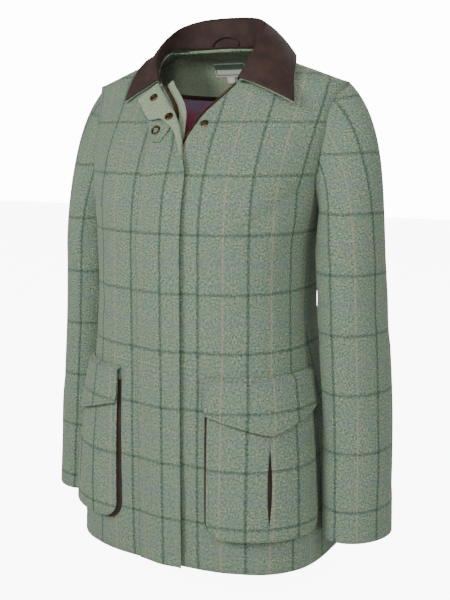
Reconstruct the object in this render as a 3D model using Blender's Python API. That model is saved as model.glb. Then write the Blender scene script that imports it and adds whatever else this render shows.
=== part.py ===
"""A woman's thigh-length tweed field coat, filled out with no wearer inside.

The origin lies between the high points of the shoulders, at the base of the neck. +Z is up,
the fronts face -Y and the wearer's left is +X. Every piece of cloth is a wall of its real
thickness that follows one body surface, worked out from a short table of level sections.
Lengths in tables are millimetres and angles are degrees.
"""
import math

import bmesh
import bpy
import numpy as np
from mathutils import kdtree

MM = 0.001
COAT = "field_coat"

# Cloth thicknesses, the gap left at every seam and the gap below what lies on a panel
TWEED = 2.0 * MM
FACING = 1.2 * MM
MOLESKIN = 1.4 * MM
TAPE = 0.9 * MM
SATIN = 0.8 * MM
LABEL = 0.6 * MM
SEAM_GAP = 0.3 * MM
ARMHOLE_GAP = 0.45 * MM
LAY_GAP = 0.35 * MM
INNER_GAP = 1.0 * MM
MITRE_LIMIT = 1.6

# Level sections of the body, squared ellipses: half width, where the side seam or the shoulder
# line lies fore and aft, the centre front, the centre back, and how square each half is
SECTION_COLUMNS = ("z", "half_width", "side_y", "front_y", "back_y", "front_full", "back_full")
SECTIONS = (
    (8, 50, 18, 6, 53, 2.0, 2.0),
    (0, 72, 20, -4, 57, 2.0, 2.0),
    (-12, 105, 23, -18, 63, 2.0, 2.0),
    (-30, 155, 28, -35, 71, 2.0, 2.1),
    (-45, 196, 32, -45, 77, 2.0, 2.2),
    (-49, 207, 33, -48, 79, 2.0, 2.2),
    (-75, 206, 30, -65, 88, 2.0, 2.3),
    (-99, 202, 25, -83, 94, 2.0, 2.4),
    (-122, 198, 20, -98, 98, 2.1, 2.5),
    (-150, 191, 15, -114, 102, 2.2, 2.6),
    (-184, 182, 11, -128, 105, 2.4, 2.7),
    (-216, 176, 10, -136, 105, 2.5, 2.7),
    (-285, 164, 3, -143, 104, 2.4, 2.8),
    (-370, 163, -10, -143, 113, 2.4, 2.9),
    (-460, 172, -6, -143, 128, 2.5, 2.8),
    (-600, 188, 4, -143, 157, 2.7, 3.1),
    (-736, 199, 10, -142, 174, 2.8, 3.4),
)

# Rows of a front, each from its free edge or the neckline to the armhole or the side seam.
# The right front's edge crosses the centre where it is folded open at the neck.
FRONT_ROW_COLUMNS = ("edge_x", "edge_z", "side_y", "side_z", "right_edge_x")
FRONT_ROWS = (
    (72, 0, 33, -49, 72),
    (79, -12, 12, -63, 74),
    (79, -30, -5, -86, 68),
    (70, -50, -13, -114, 52),
    (32, -98, -20, -146, 10),
    (16, -148, -21, -178, 0),
    (13, -198, -12, -203, -3),
    (13, -258, 10, -216, -3),
    (13, -310, 3, -285, -3),
    (13, -375, -10, -370, -3),
    (13, -460, -6, -460, -3),
    (13, -600, 4, -600, -3),
    (13, -736, 10, -736, -3),
)

# Rows of the back's left half, from the neckline or the centre back
BACK_ROWS = (
    (72, 0, 33, -49, 72),
    (60, 1, 54, -66, 60),
    (34, 3, 67, -92, 34),
    (0, 4, 72, -122, 0),
    (0, -54, 69, -154, 0),
    (0, -122, 55, -184, 0),
    (0, -190, 34, -206, 0),
    (0, -258, 10, -216, 0),
    (0, -310, 3, -285, 0),
    (0, -375, -10, -370, 0),
    (0, -460, -6, -460, 0),
    (0, -600, 4, -600, 0),
    (0, -736, 10, -736, 0),
)
UNDERARM_ROW = 7
NAPE_ROW = 3
NECK_ROW = 3
ZIP_ROW = 6

# Rings of the left sleeve below the armhole: height, centre, half widths across the arm's
# long and short way, and how far the long way is turned out of the fore-and-aft line
SLEEVE_COLUMNS = ("z", "x", "y", "long", "short", "turn")
SLEEVE = (
    (-290, 217, 24, 62, 48, 0),
    (-390, 224, 25, 62, 47, 8),
    (-507, 234, 21, 60, 45, 16),
    (-600, 239, 14, 58, 44, 21),
    (-695, 243, 8, 57, 43, 25),
)
CAP_TILT_TOP = 42
CAP_TILT_UNDER = 74
UNDER_SLEEVE_FRONT = 0.34
UNDER_SLEEVE_BACK = 0.66
ARMHOLE_WEIGHT = 100

# The collar from the centre back to its front end: the neck seam, the roll and the outer edge,
# and how much nearer the centre its roll and edge lie on the wearer's right
COLLAR_COLUMNS = (
    "base_x", "base_y", "base_z", "roll_x", "roll_y", "roll_z", "edge_x", "edge_y", "edge_z",
    "base_in_right", "roll_in_right", "edge_in_right",
)
COLLAR = (
    (0, 55, 7, 0, 67, 52, 0, 108, 9, 0, 0, 0),
    (34, 49, 6, 37, 60, 50, 58, 99, 4, 0, 4, 4),
    (60, 36, 5, 67, 42, 43, 98, 73, -3, 0, 12, 14),
    (72, 19, 4, 82, 20, 32, 124, 36, -10, 0, 15, 26),
    (79, -4, -9, 88, -7, 14, 140, -3, -27, 5, 17, 36),
    (79, -27, -27, 86, -34, -11, 151, -32, -51, 11, 18, 46),
    (72, -48, -46, 76, -54, -42, 161, -52, -76, 20, 22, 54),
)
COLLAR_CLEAR = 4.4 * MM
COLLAR_UNDER_RIM = 1.2 * MM
COLLAR_LAY = MOLESKIN + 2.6 * INNER_GAP
COLLAR_ROLL_LAY = MOLESKIN + 1.6 * INNER_GAP
COLLAR_ROLL_COLUMN = 3
COLLAR_ROLL_WIDTH = 9 * MM
COLLAR_ROLL_LEAST = 6 * MM
COLLAR_ROLL_SHARE = 0.5
COLLAR_FALL_MIDDLE = 0.3
COLLAR_CROWN = 2.5 * MM

# The placket lies over the zip from its sewn root to its free edge. Its upper part rolls back:
# for each height, where the roll starts, measured out from the zip, and how far it turns
PLACKET_ROOT = -40 * MM
PLACKET_EDGE = 31 * MM
PLACKET_LAY = 0.6 * MM
PLACKET_BULGE = 6.0 * MM
PLACKET_SETTLE = 0.55
PLACKET_OPEN_Z = -150 * MM
PLACKET_CLOSING = 50 * MM
PLACKET_ROLL_RADIUS = 1.9 * MM
PLACKET_ROLL_COLUMNS = ("z", "roll_start", "turn", "edge")
PLACKET_ROLL = (
    (-44, -6, 180, 33),
    (-80, -5, 180, 31),
    (-100, 2, 178, 25),
    (-120, 11, 172, 24),
    (-145, 18, 150, 27),
    (-165, 21, 70, 31),
    (-195, 24, 0, 31),
    (-740, 24, 0, 31),
)

# Zip: a tape each side, a guard strip inside the right edge, the slider and its pull tab.
# Depths are measured out from the coat's outer face.
ZIP_X = 8 * MM
TAPE_IN = -9 * MM
TAPE_OUT = 4.4 * MM
TAPE_DEPTH = -3.3 * MM
GUARD_IN = -14 * MM
GUARD_OUT = 15 * MM
GUARD_DEPTH = -6.4 * MM
SLIDER_Z = -200 * MM

# Bellows pockets, measured round the coat from the centre front
POCKET_INNER = 75 * MM
POCKET_OUTER = 243 * MM
POCKET_TOP = -462 * MM
POCKET_BOTTOM = -682 * MM
POCKET_CORNER = 26 * MM
POCKET_LIFT_TOP = 4.5 * MM
POCKET_LIFT_BOTTOM = 16.0 * MM
POCKET_LIFT_SIDE = 9.0 * MM
POCKET_FULLEST = 0.62
POCKET_ROWS = (-462, -490, -520, -548, -580, -610, -640, -662, -672, -679, -682)
SLIT_TOP = -548 * MM
SLIT_BOTTOM = -662 * MM
SLIT_HALF = 3.4 * MM
SLIT_SEAM = 0.45 * MM
SLIT_BACKING_HALF = 14 * MM
SLIT_BACKING_DEPTH = 3.4 * MM
GUSSET_INSET = 3 * MM
GUSSET_FLARE = 5 * MM
FLAP_TOP = -452 * MM
FLAP_CORNER = -503 * MM
FLAP_POINT = -532 * MM
FLAP_OVERHANG = 3 * MM
FLAP_STEP = 2.2 * MM

# What is sewn inside the back neck
FACING_DEPTH = 68 * MM
FACING_TURN = 62
FACING_TOP = 2 * MM
FACING_TOP_FALL = 3 * MM
BINDING_ROWS = (0.36, 0.18, 0)
LINING_DROP = 1.0 * MM
LINING_BOTTOM = -330 * MM
LINING_TURN = 74
LINING_IN = 3.7 * MM
LABEL_WIDTH = 49 * MM
LABEL_TOP = -14 * MM
LABEL_BOTTOM = -34 * MM
SIZE_TAG_WIDTH = 12 * MM
SIZE_TAG_BOTTOM = -43 * MM
LOOP_SPAN = 44 * MM
LOOP_RADIUS = 1.7 * MM
LOOP_RISE = 14 * MM
LOOP_OFF = 2.15 * MM
LOOP_FOOT = 3 * MM
LOOP_SIDES = 6

# The throat tab on the right front, from under the folded placket to its clipped end
TAB_COLUMNS = ("z", "left_x", "right_x")
TAB = (
    (-92, -50, -20),
    (-104, -48, -15),
    (-115, -43, -9),
    (-124, -37, -14),
    (-133, -31, -19),
)
TAB_LIFT = 5.2 * MM

# Cell walls of the zip slider and its pull across, up and out, and the blocks of cells they fill
SLIDER_WALLS = (
    (-4.2, -0.8, -0.3, 0.3, 0.8, 4.2),
    (-6, -1.4, -0.4, 3.0, 4.0, 6),
    (-5.8, -5.0, -2.4, 0.1, 2.5, 3.3),
)
SLIDER_PLATES = (((0, 5), (0, 5), (0, 1)), ((2, 3), (0, 5), (1, 2)), ((0, 5), (0, 5), (2, 3)))
SLIDER_BAIL = (((1, 4), (1, 2), (3, 4)), ((1, 4), (3, 4), (3, 4)), ((1, 4), (1, 4), (4, 5)))
PULL_WALLS = ((-2.8, -1.4, 1.4, 2.8), (-24, -4, 0.6, 2.0), (0.6, 1.8))
PULL_TAB = (((0, 3), (0, 1), (0, 1)), ((0, 1), (1, 3), (0, 1)), ((2, 3), (1, 3), (0, 1)))
PULL_BAR = (((0, 3), (2, 3), (0, 1)),)

# Snaps: where they lie and their turned profiles, radius and height in millimetres
TAB_SNAP = (-30 * MM, -118 * MM)
STUD = (41 * MM, -106 * MM)
SOCKETS = (("upper", -65 * MM), ("lower", -99 * MM))
RING_PROFILE = ((4.4, 0), (7.1, 0), (7.3, 0.8), (6.4, 1.8), (5.0, 1.8), (4.3, 0.9))
STUD_PROFILE = ((0, 0), (5.6, 0), (5.8, 0.6), (4.6, 1.1), (3.0, 1.2), (2.6, 3.0), (0, 3.4))
SOCKET_PROFILE = ((0, 0), (6.2, 0), (6.4, 0.8), (5.2, 1.5), (3.0, 1.5), (2.6, 0.9), (0, 0.9))

# Colours as sRGB hex, roughness and metallic value of each material
MATERIALS = {
    "tweed": ("7d8f79", 0.92, 0.0),
    "moleskin": ("3a2622", 0.85, 0.0),
    "satin": ("7a3a55", 0.45, 0.0),
    "tape": ("4a342b", 0.8, 0.0),
    "label": ("d8d8cf", 0.7, 0.0),
    "brass": ("8a6a3e", 0.38, 1.0),
}


def spline(knots, values, at):
    """A curve through the rows of a table: cubic, and never past its neighbouring rows.

    The slope at a row is the harmonic mean of the slopes beside it, or level at a turn.
    """
    knots = np.asarray(knots, float)
    values = np.asarray(values, float)
    at = np.clip(np.asarray(at, float), knots[0], knots[-1])
    rise = np.diff(values, axis=0) / np.diff(knots)[:, None]
    product = rise[:-1] * rise[1:]
    total = np.where(np.abs(rise[:-1] + rise[1:]) < 1e-12, 1, rise[:-1] + rise[1:])
    middle = np.where(product > 0, 2 * product / total, 0)
    slopes = np.concatenate([rise[:1], middle, rise[-1:]])
    i = np.clip(np.searchsorted(knots, at, side="right") - 1, 0, len(knots) - 2)
    step = (knots[i + 1] - knots[i])[:, None]
    f = (at - knots[i])[:, None] / step
    return (
        (2 * f**3 - 3 * f**2 + 1) * values[i]
        + (f**3 - 2 * f**2 + f) * step * slopes[i]
        + (3 * f**2 - 2 * f**3) * values[i + 1]
        + (f**3 - f**2) * step * slopes[i + 1]
    )


def unit(vectors):
    """Vectors scaled to length one."""
    length = np.linalg.norm(vectors, axis=-1, keepdims=True)
    return vectors / np.maximum(length, 1e-9)


def by_height(table, z):
    """Rows of a table whose first column is a falling height in millimetres."""
    values = np.asarray(table, float)
    z = np.asarray(z, float)
    return spline(-values[:, 0], values, -z.ravel() / MM).reshape(z.shape + (values.shape[1],))


def reach(turn, full):
    """Radius of a squared circle in the direction of a turn."""
    return (np.abs(np.cos(turn)) ** full + np.abs(np.sin(turn)) ** full) ** (-1 / full)


def body_point(turn, z, back=False):
    """A point of the body surface: turned from the centre line to the side, at a height."""
    turn, z = np.broadcast_arrays(np.asarray(turn, float), np.asarray(z, float))
    row = by_height(SECTIONS, z)
    full = row[..., 6] if back else row[..., 5]
    centre = row[..., 4] if back else row[..., 3]
    radius = reach(turn, full)
    x = row[..., 1] * radius * np.sin(turn)
    y = row[..., 2] + (centre - row[..., 2]) * radius * np.cos(turn)
    return np.stack([x * MM, y * MM, z], axis=-1)


def body_normal(turn, z, back=False):
    """The outward unit normal of the body surface there."""
    turn, z = np.broadcast_arrays(np.asarray(turn, float), np.asarray(z, float))
    small_turn, small_rise = 0.01, 1.5 * MM
    along = body_point(turn + small_turn, z, back) - body_point(turn - small_turn, z, back)
    up = body_point(turn, z + small_rise, back) - body_point(turn, z - small_rise, back)
    normal = unit(np.cross(along, up))
    return -normal if back else normal


def turn_where(measure, target):
    """The turn between nought and a right angle at which a rising measure meets its target."""
    low = np.zeros_like(target)
    high = np.full_like(target, math.pi / 2)
    for _ in range(40):
        middle = (low + high) / 2
        short = measure(middle) < target
        low = np.where(short, middle, low)
        high = np.where(short, high, middle)
    return (low + high) / 2


def turn_at_x(x, z, back=False):
    """The turn at which the surface lies x out from the centre plane. Its sign is that of x."""
    x, z = np.broadcast_arrays(np.asarray(x, float), np.asarray(z, float))
    return np.sign(x) * turn_where(lambda turn: body_point(turn, z, back)[..., 0], np.abs(x))


def turn_at_y(y, z, back=False):
    """The turn at which the surface lies at y, fore and aft."""
    y, z = np.broadcast_arrays(np.asarray(y, float), np.asarray(z, float))
    way = -1 if back else 1
    return turn_where(lambda turn: way * body_point(turn, z, back)[..., 1], way * y)


def turn_at_arc(arc, z):
    """The turn that lies an arc's length round the front from the centre line."""
    arc, z = np.broadcast_arrays(np.asarray(arc, float), np.asarray(z, float))
    turns = np.linspace(0, math.pi / 2, 121)
    line = body_point(turns[None, :], z.ravel()[:, None])
    steps = np.linalg.norm(np.diff(line, axis=1), axis=2)
    length = np.concatenate([np.zeros((len(steps), 1)), np.cumsum(steps, axis=1)], axis=1)
    found = [np.interp(abs(a), one, turns) for a, one in zip(arc.ravel(), length)]
    return np.sign(arc) * np.array(found).reshape(arc.shape)


def lifted(turn, z, lift, back=False):
    """Points moved out from the body surface by a lift."""
    normal = body_normal(turn, z, back)
    return body_point(turn, z, back) + normal * np.asarray(lift, float)[..., None]


def panel_grid(table, right=False, back=False):
    """Points of a panel on the body surface, row by row from its edge to its side.

    Along a row the turn and the height both change evenly. From the centre row down the
    edge runs straight, and there is a corner in the side line at the underarm.
    """
    values = np.asarray(table, float)
    knots = np.arange(len(values))
    rows = spline(knots, values, PANEL_ROWS)
    centre_row = NAPE_ROW if back else ZIP_ROW
    edge_column = 4 if right else 0
    side = slice(2, 4)
    above = PANEL_ROWS <= UNDERARM_ROW
    last = UNDERARM_ROW + 1
    rows[above, side] = spline(knots[:last], values[:last, side], PANEL_ROWS[above])
    rows[~above, side] = spline(knots[UNDERARM_ROW:], values[UNDERARM_ROW:, side], PANEL_ROWS[~above])
    below_v = PANEL_ROWS >= centre_row
    edge_x = np.where(below_v, values[centre_row, edge_column], rows[:, edge_column]) * MM
    edge_z = rows[:, 1] * MM
    side_z = rows[:, 3] * MM
    start = turn_at_x(edge_x, edge_z, back)
    start[0] = math.pi / 2
    end = turn_at_y(rows[:, 2] * MM, side_z, back)
    end[PANEL_ROWS >= UNDERARM_ROW] = math.pi / 2
    end[0] = math.pi / 2
    across = PANEL_COLUMNS[None, :]
    turn = start[:, None] + (end - start)[:, None] * across
    z = edge_z[:, None] + (side_z - edge_z)[:, None] * across
    return body_point(turn, z, back)


def grid_normals(grid, flip=False):
    """Unit normals of a grid, from the cross product of its two directions."""
    normals = unit(np.cross(np.gradient(grid, axis=0), np.gradient(grid, axis=1)))
    return -normals if flip else normals


def mitred_normals(grid):
    """At each point the mean of the unit normals of the quads round it, long enough for a mitre."""
    down, along = grid[1:, :-1] - grid[:-1, :-1], grid[:-1, 1:] - grid[:-1, :-1]
    down = down + grid[1:, 1:] - grid[:-1, 1:]
    along = along + grid[1:, 1:] - grid[1:, :-1]
    quads = unit(np.cross(down, along))
    total = np.zeros_like(grid)
    for rows in (slice(0, -1), slice(1, None)):
        for columns in (slice(0, -1), slice(1, None)):
            total[rows, columns] += quads
    count = np.linalg.norm(total, axis=2, keepdims=True)
    many = np.zeros(grid.shape[:2] + (1,))
    for rows in (slice(0, -1), slice(1, None)):
        for columns in (slice(0, -1), slice(1, None)):
            many[rows, columns] += 1
    return total / count * np.minimum(many / count, MITRE_LIMIT)


def mirrored(grid):
    """The same points on the wearer's other side."""
    return grid * np.array([-1, 1, 1])


class Seams:
    """Normals shared by pieces that meet at a seam, so that their walls end in one mitre."""

    def __init__(self):
        self.points = []
        self.normals = []
        self.tree = None

    def note(self, grid, normals):
        """Adds a grid's normals at each of its points, all on the wearer's left."""
        self.points.extend(grid.reshape(-1, 3).tolist())
        self.normals.extend(normals.reshape(-1, 3).tolist())
        self.tree = None

    def at(self, point, fallback):
        """The sum of the normals noted at a point, as a unit vector, or the piece's own."""
        if self.tree is None:
            self.tree = kdtree.KDTree(len(self.points))
            for index, noted in enumerate(self.points):
                self.tree.insert(noted, index)
            self.tree.balance()
        side = np.array([-1 if point[0] < 0 else 1, 1, 1])
        found = [index for _, index, _ in self.tree.find_range((point * side).tolist(), 4e-6)]
        total = np.sum([self.normals[index] for index in found], axis=0) if found else np.zeros(3)
        if np.linalg.norm(total) < 1e-3:
            return np.array(fallback)
        return unit(total) * side


SEAMS = Seams()


def new_material(name):
    """One Principled material in the colour of the cloth or metal."""
    colour, roughness, metallic = MATERIALS[name]
    material = bpy.data.materials.new(name)
    material.use_nodes = True
    surface = material.node_tree.nodes["Principled BSDF"]
    srgb = [int(colour[i:i + 2], 16) / 255 for i in (0, 2, 4)]
    linear = [v / 12.92 if v <= 0.04045 else ((v + 0.055) / 1.055) ** 2.4 for v in srgb]
    surface.inputs["Base Color"].default_value = (*linear, 1)
    surface.inputs["Roughness"].default_value = roughness
    surface.inputs["Metallic"].default_value = metallic
    return material


def add_object(name, points, faces, material):
    """Makes a mesh and puts it into the coat's collection with a material of its own."""
    mesh = bpy.data.meshes.new(name)
    mesh.from_pydata([tuple(p) for p in points], [], [tuple(face) for face in faces])
    mesh.update()
    item = bpy.data.objects.new(name, mesh)
    mesh.materials.append(new_material(material))
    bpy.data.collections[COAT].objects.link(item)
    return item


def cloth(name, grids, thickness, material, flip=False, right=False, pull=True):
    """A wall of cloth: an outer surface of grids, its inner copy one thickness in, and rims.

    Grids that share points are sewn into one surface. The rim is drawn back by half a seam
    gap, so that two pieces meet with the whole gap between them.
    """
    shell = bmesh.new()
    for grid in grids:
        rows, columns = grid.shape[:2]
        verts = [[shell.verts.new(p) for p in line] for line in grid.tolist()]
        for r in range(rows - 1):
            for c in range(columns - 1):
                corners = [verts[r][c], verts[r][c + 1], verts[r + 1][c + 1], verts[r + 1][c]]
                shell.faces.new(corners if flip else corners[::-1])
    bmesh.ops.remove_doubles(shell, verts=shell.verts, dist=2e-6)
    shell.normal_update()
    shell.verts.ensure_lookup_table()
    shell.verts.index_update()
    outer = np.array([v.co for v in shell.verts])
    normals = np.array([v.normal for v in shell.verts])
    inner_dir = np.array([SEAMS.at(p, n) for p, n in zip(outer, normals)])
    inner = outer - inner_dir * thickness
    rims = []
    draw = np.zeros_like(outer)
    for edge in shell.edges:
        if not edge.is_boundary:
            continue
        face = edge.link_faces[0]
        loop = next(one for one in face.loops if one.edge == edge)
        start, end = loop.vert.index, loop.link_loop_next.vert.index
        rims.append((start, end))
        along = np.array(outer[end] - outer[start])
        inward = unit(np.cross(np.array(face.normal), along))
        draw[start] += inward
        draw[end] += inward
    if pull:
        shift = unit(draw) * (np.linalg.norm(draw, axis=1, keepdims=True) > 1e-6) * SEAM_GAP / 2
        outer = outer + shift
        inner = inner + shift
    count = len(outer)
    faces = [[v.index for v in face.verts] for face in shell.faces]
    faces += [[i + count for i in reversed(face)] for face in faces]
    for start, end in rims:
        # Pieces on both sides of a seam fold their rims the same way, from the higher point
        if tuple(np.round(outer[start][::-1], 4)) > tuple(np.round(outer[end][::-1], 4)):
            faces += [(end, start, end + count), (start, start + count, end + count)]
        else:
            faces += [(end, start, start + count), (end, start + count, end + count)]
    shell.free()
    points = np.concatenate([outer, inner])
    if right:
        points = mirrored(points)
        faces = [list(reversed(face)) for face in faces]
    return add_object(name, points, faces, material)


PANEL_ROWS = np.concatenate([np.linspace(0, 7, 15), np.linspace(7.5, 12, 10)])
PANEL_COLUMNS = np.linspace(0, 1, 11)


def armhole_loop(front, back):
    """The armhole from the shoulder tip down the front, under the arm and up the back."""
    last = int(np.argmin(np.abs(PANEL_ROWS - UNDERARM_ROW)))
    down = front[:last + 1, -1]
    up = back[last - 1::-1, -1]
    return np.concatenate([down, up])


def sleeve_grid(loop, cap_steps, arm_steps):
    """Rings of the left sleeve: the armhole swings out and down into the first arm ring.

    Each point of the armhole follows a cubic curve that leaves the shoulder outwards, steeper
    under the arm, and arrives straight down. Below, the rings are turned ellipses.
    """
    lengths = np.linalg.norm(np.diff(loop, axis=0), axis=1)
    round_arm = np.concatenate([[0], np.cumsum(lengths)]) / lengths.sum()
    turn_round = 2 * math.pi * round_arm
    heights = np.linspace(SLEEVE[0][0], SLEEVE[-1][0], arm_steps)
    rings = by_height(SLEEVE, heights * MM)

    def ring(row):
        z, x, y, long_half, short_half, turn = row
        turn = math.radians(turn)
        short_way = np.cos(turn_round) * short_half
        long_way = -np.sin(turn_round) * long_half
        across = short_way * math.cos(turn) + long_way * math.sin(turn)
        fore = -short_way * math.sin(turn) + long_way * math.cos(turn)
        return np.stack([x + across, y + fore, np.full_like(across, z)], axis=1) * MM

    arm = np.stack([ring(row) for row in rings])
    first = arm[0]
    under = (1 - np.cos(turn_round)) / 2
    tilt = np.radians(CAP_TILT_TOP + (CAP_TILT_UNDER - CAP_TILT_TOP) * under)
    span = np.linalg.norm(first - loop, axis=1)
    leave = np.stack([np.cos(tilt), np.zeros_like(tilt), -np.sin(tilt)], axis=1) * span[:, None]
    arrive = np.array([[0.06, 0, -1.0]]) * span[:, None] * 0.9
    steps = np.linspace(0, 1, cap_steps + 1)[:-1, None, None]
    cap = (
        (2 * steps**3 - 3 * steps**2 + 1) * loop
        + (steps**3 - 2 * steps**2 + steps) * leave
        + (3 * steps**2 - 2 * steps**3) * first
        + (steps**3 - steps**2) * arrive
    )
    return np.concatenate([cap, arm])


def body_panels():
    """The two fronts and half of the back."""
    left = panel_grid(FRONT_ROWS)
    right = panel_grid(FRONT_ROWS, right=True)
    back = panel_grid(BACK_ROWS, back=True)
    return left, right, back


def build_body():
    """The fronts, the back and the two-piece sleeves."""
    left, right, back = body_panels()
    loop = armhole_loop(left, back)
    sleeve = sleeve_grid(loop, cap_steps=6, arm_steps=9)
    sleeve_out = sleeve + np.array([ARMHOLE_GAP, 0, 0])
    wrapped = np.concatenate([sleeve[:, -1:], sleeve, sleeve[:, :1]], axis=1)
    sleeve_normals = grid_normals(wrapped, flip=True)[:, 1:-1]
    SEAMS.note(left, grid_normals(left))
    SEAMS.note(right, grid_normals(right))
    SEAMS.note(back, 2 * grid_normals(back, flip=True))
    body_normals = np.array([SEAMS.at(point, (0, 0, 1)) for point in loop])
    armhole = unit(body_normals + sleeve_normals[0])
    SEAMS.note(loop, ARMHOLE_WEIGHT * armhole)
    SEAMS.note(sleeve_out, np.concatenate([armhole[None], sleeve_normals[1:]]))
    cloth("front_left", [left], TWEED, "tweed")
    cloth("front_right", [right], TWEED, "tweed", right=True)
    cloth("back", [back, mirrored(back)[:, ::-1]], TWEED, "tweed", flip=True)
    count = sleeve.shape[1]
    front_seam = int(round(UNDER_SLEEVE_FRONT * count))
    back_seam = int(round(UNDER_SLEEVE_BACK * count))
    top = np.concatenate([sleeve_out[:, back_seam:], sleeve_out[:, :front_seam + 1]], axis=1)
    under = sleeve_out[:, front_seam:back_seam + 1]
    for side in ("left", "right"):
        cloth("sleeve_top_" + side, [top], TWEED, "tweed", flip=True, right=side == "right")
        cloth("sleeve_under_" + side, [under], TWEED, "tweed", flip=True, right=side == "right")


def collar_line(stations, right):
    """Neck seam, roll and edge points of half the collar at even stations from the back."""
    values = np.asarray(COLLAR, float)
    rows = spline(np.arange(len(values)), values, stations)
    base, roll, edge = rows[:, 0:3].copy(), rows[:, 3:6].copy(), rows[:, 6:9].copy()
    if right:
        base[:, 0] -= rows[:, 9]
        roll[:, 0] -= rows[:, 10]
        edge[:, 0] -= rows[:, 11]
    return base * MM, roll * MM, edge * MM


def clear_of_body(points, need):
    """Points moved straight out from the body surface until they clear it by a distance."""
    turns = np.linspace(0, math.pi / 2, 40)[None, :]
    heights = np.linspace(2 * MM, -190 * MM, 97)[:, None]
    places, normals = [], []
    for back in (False, True):
        place = body_point(turns, heights, back).reshape(-1, 3)
        normal = body_normal(turns, heights, back).reshape(-1, 3)
        places += [place, mirrored(place)]
        normals += [normal, mirrored(normal)]
    place, normal = np.concatenate(places), np.concatenate(normals)
    flat = points.reshape(-1, 3).copy()
    for i, point in enumerate(flat):
        nearest = np.argmin(((place - point)**2).sum(axis=1))
        height = (point - place[nearest]) @ normal[nearest]
        flat[i] += normal[nearest] * max(0, need - height)
    return flat.reshape(points.shape)


def collar_surface(right, stations, down_count):
    """Half the collar's outer skin: up the stand, over the roll and down the fall.

    The stand is a straight line from the neck seam to the roll. The fall is a quadratic curve
    from the roll to the edge, whose middle point stands out level with the roll.
    """
    base, roll, edge = collar_line(stations, right)
    out = edge - roll
    out[:, 2] = 0
    level = unit(out)
    height = roll[:, 2] - base[:, 2]
    roll_width = np.clip(height * COLLAR_ROLL_SHARE, COLLAR_ROLL_LEAST, COLLAR_ROLL_WIDTH)[:, None]
    middle = roll + level * roll_width + (edge - roll) * COLLAR_FALL_MIDDLE
    middle[:, 2] += COLLAR_CROWN
    t = np.linspace(0, 1, down_count)[None, :, None]
    fall = (1 - t)**2 * roll[:, None] + 2 * t * (1 - t) * middle[:, None] + t**2 * edge[:, None]
    s = np.linspace(0, 1, 4)[None, :-1, None]
    stand = base[:, None] + (roll - base)[:, None] * s
    fall[:, 1:] = clear_of_body(fall[:, 1:], COLLAR_CLEAR + MOLESKIN + FACING + SEAM_GAP)
    return np.concatenate([stand, fall], axis=1)


def build_collar():
    """The moleskin collar with its stand, and the tweed under collar below it."""
    stations = np.linspace(0, len(COLLAR) - 1, 13)
    for name, lay, thickness, rim, material in (
        ("collar_top", 0, MOLESKIN, 0, "moleskin"),
        ("collar_under", COLLAR_LAY, FACING, COLLAR_UNDER_RIM, "tweed"),
    ):
        left = collar_surface(False, stations, 6)
        right = mirrored(collar_surface(True, stations, 6))[::-1]
        whole = np.concatenate([right[:-1], left], axis=0)
        if lay:
            columns = np.arange(whole.shape[1])
            fold = np.interp(columns, (0, COLLAR_ROLL_COLUMN, COLLAR_ROLL_COLUMN + 2), (1, 1, 0))
            depth = lay + (COLLAR_ROLL_LAY - lay) * fold
            whole = whole - mitred_normals(whole) * depth[None, :, None]
            edge_way = unit(whole[:, -1] - whole[:, -2])
            whole[:, -1] += edge_way * rim
        cloth(name, [whole], thickness, material)


def front_edge(right, z):
    """How far out the zip edge of a front lies at given heights, in true coordinates."""
    values = np.asarray(FRONT_ROWS, float)[NECK_ROW:]
    column = 4 if right else 0
    x = spline(-values[:, 1], values, -np.asarray(z) / MM)[:, column] * MM
    return -x if right else x


def edge_strip(right, z, across, lift):
    """A strip along a front's zip edge: across is measured out past the edge of the cloth.

    Near the neck the edge leans, so the strip's across direction leans with it.
    """
    x = front_edge(right, z)
    way = -1 if right else 1
    slope = np.gradient(x, z)
    lean = np.stack([np.ones_like(slope), -slope], axis=1)
    lean = lean / np.linalg.norm(lean, axis=1, keepdims=True)
    place_x = x[:, None] - way * across * lean[:, :1]
    place_z = z[:, None] - way * across * lean[:, 1:]
    place_z = np.minimum(place_z, 3 * MM)
    turn = turn_at_x(place_x, place_z)
    sign = np.where(turn < 0, -1, 1)
    points = lifted(np.abs(turn), place_z, lift)
    points[..., 0] *= sign
    return points


STRIP_ROWS = np.concatenate([np.linspace(-50, -200, 13), np.linspace(-235, -736, 11)]) * MM


def placket_grid():
    """The placket's outer face: flat over the zip below, rolled back on itself above.

    Past the start of the roll the cloth turns evenly over a set arc and then runs straight.
    """
    roll = by_height(PLACKET_ROLL, STRIP_ROWS)
    start = roll[:, 1:2] * MM
    turn = np.radians(roll[:, 2:3]) + 1e-4
    arc = math.pi * PLACKET_ROLL_RADIUS
    flat = PLACKET_ROOT + (start - PLACKET_ROOT) * np.linspace(0, 1, 6)[None, :-1]
    angle = turn * np.linspace(0, 1, 5)[None, :]
    radius = arc / turn
    curl = start + radius * np.sin(angle)
    curl_lift = radius * (1 - np.cos(angle))
    left_over = roll[:, 3:4] * MM - start - arc
    run = left_over * np.linspace(0, 1, 4)[None, 1:]
    tail = curl[:, -1:] + run * np.cos(turn)
    tail_lift = curl_lift[:, -1:] + run * np.sin(turn)
    across = np.concatenate([flat, curl, tail], axis=1)
    lift = np.concatenate([np.zeros_like(flat), curl_lift, tail_lift], axis=1)
    over_zip = np.clip((across - PLACKET_ROOT) / -PLACKET_ROOT, 0, 1)
    past_zip = np.clip(across / PLACKET_EDGE, 0, 1)
    closed = np.clip((PLACKET_OPEN_Z - STRIP_ROWS[:, None]) / PLACKET_CLOSING, 0, 1)
    over_zip = np.sin(over_zip * math.pi / 2)**2
    bulge = closed * PLACKET_BULGE * (over_zip - PLACKET_SETTLE * past_zip**2)
    return edge_strip(True, STRIP_ROWS, across, PLACKET_LAY + TWEED + bulge + lift)


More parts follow.
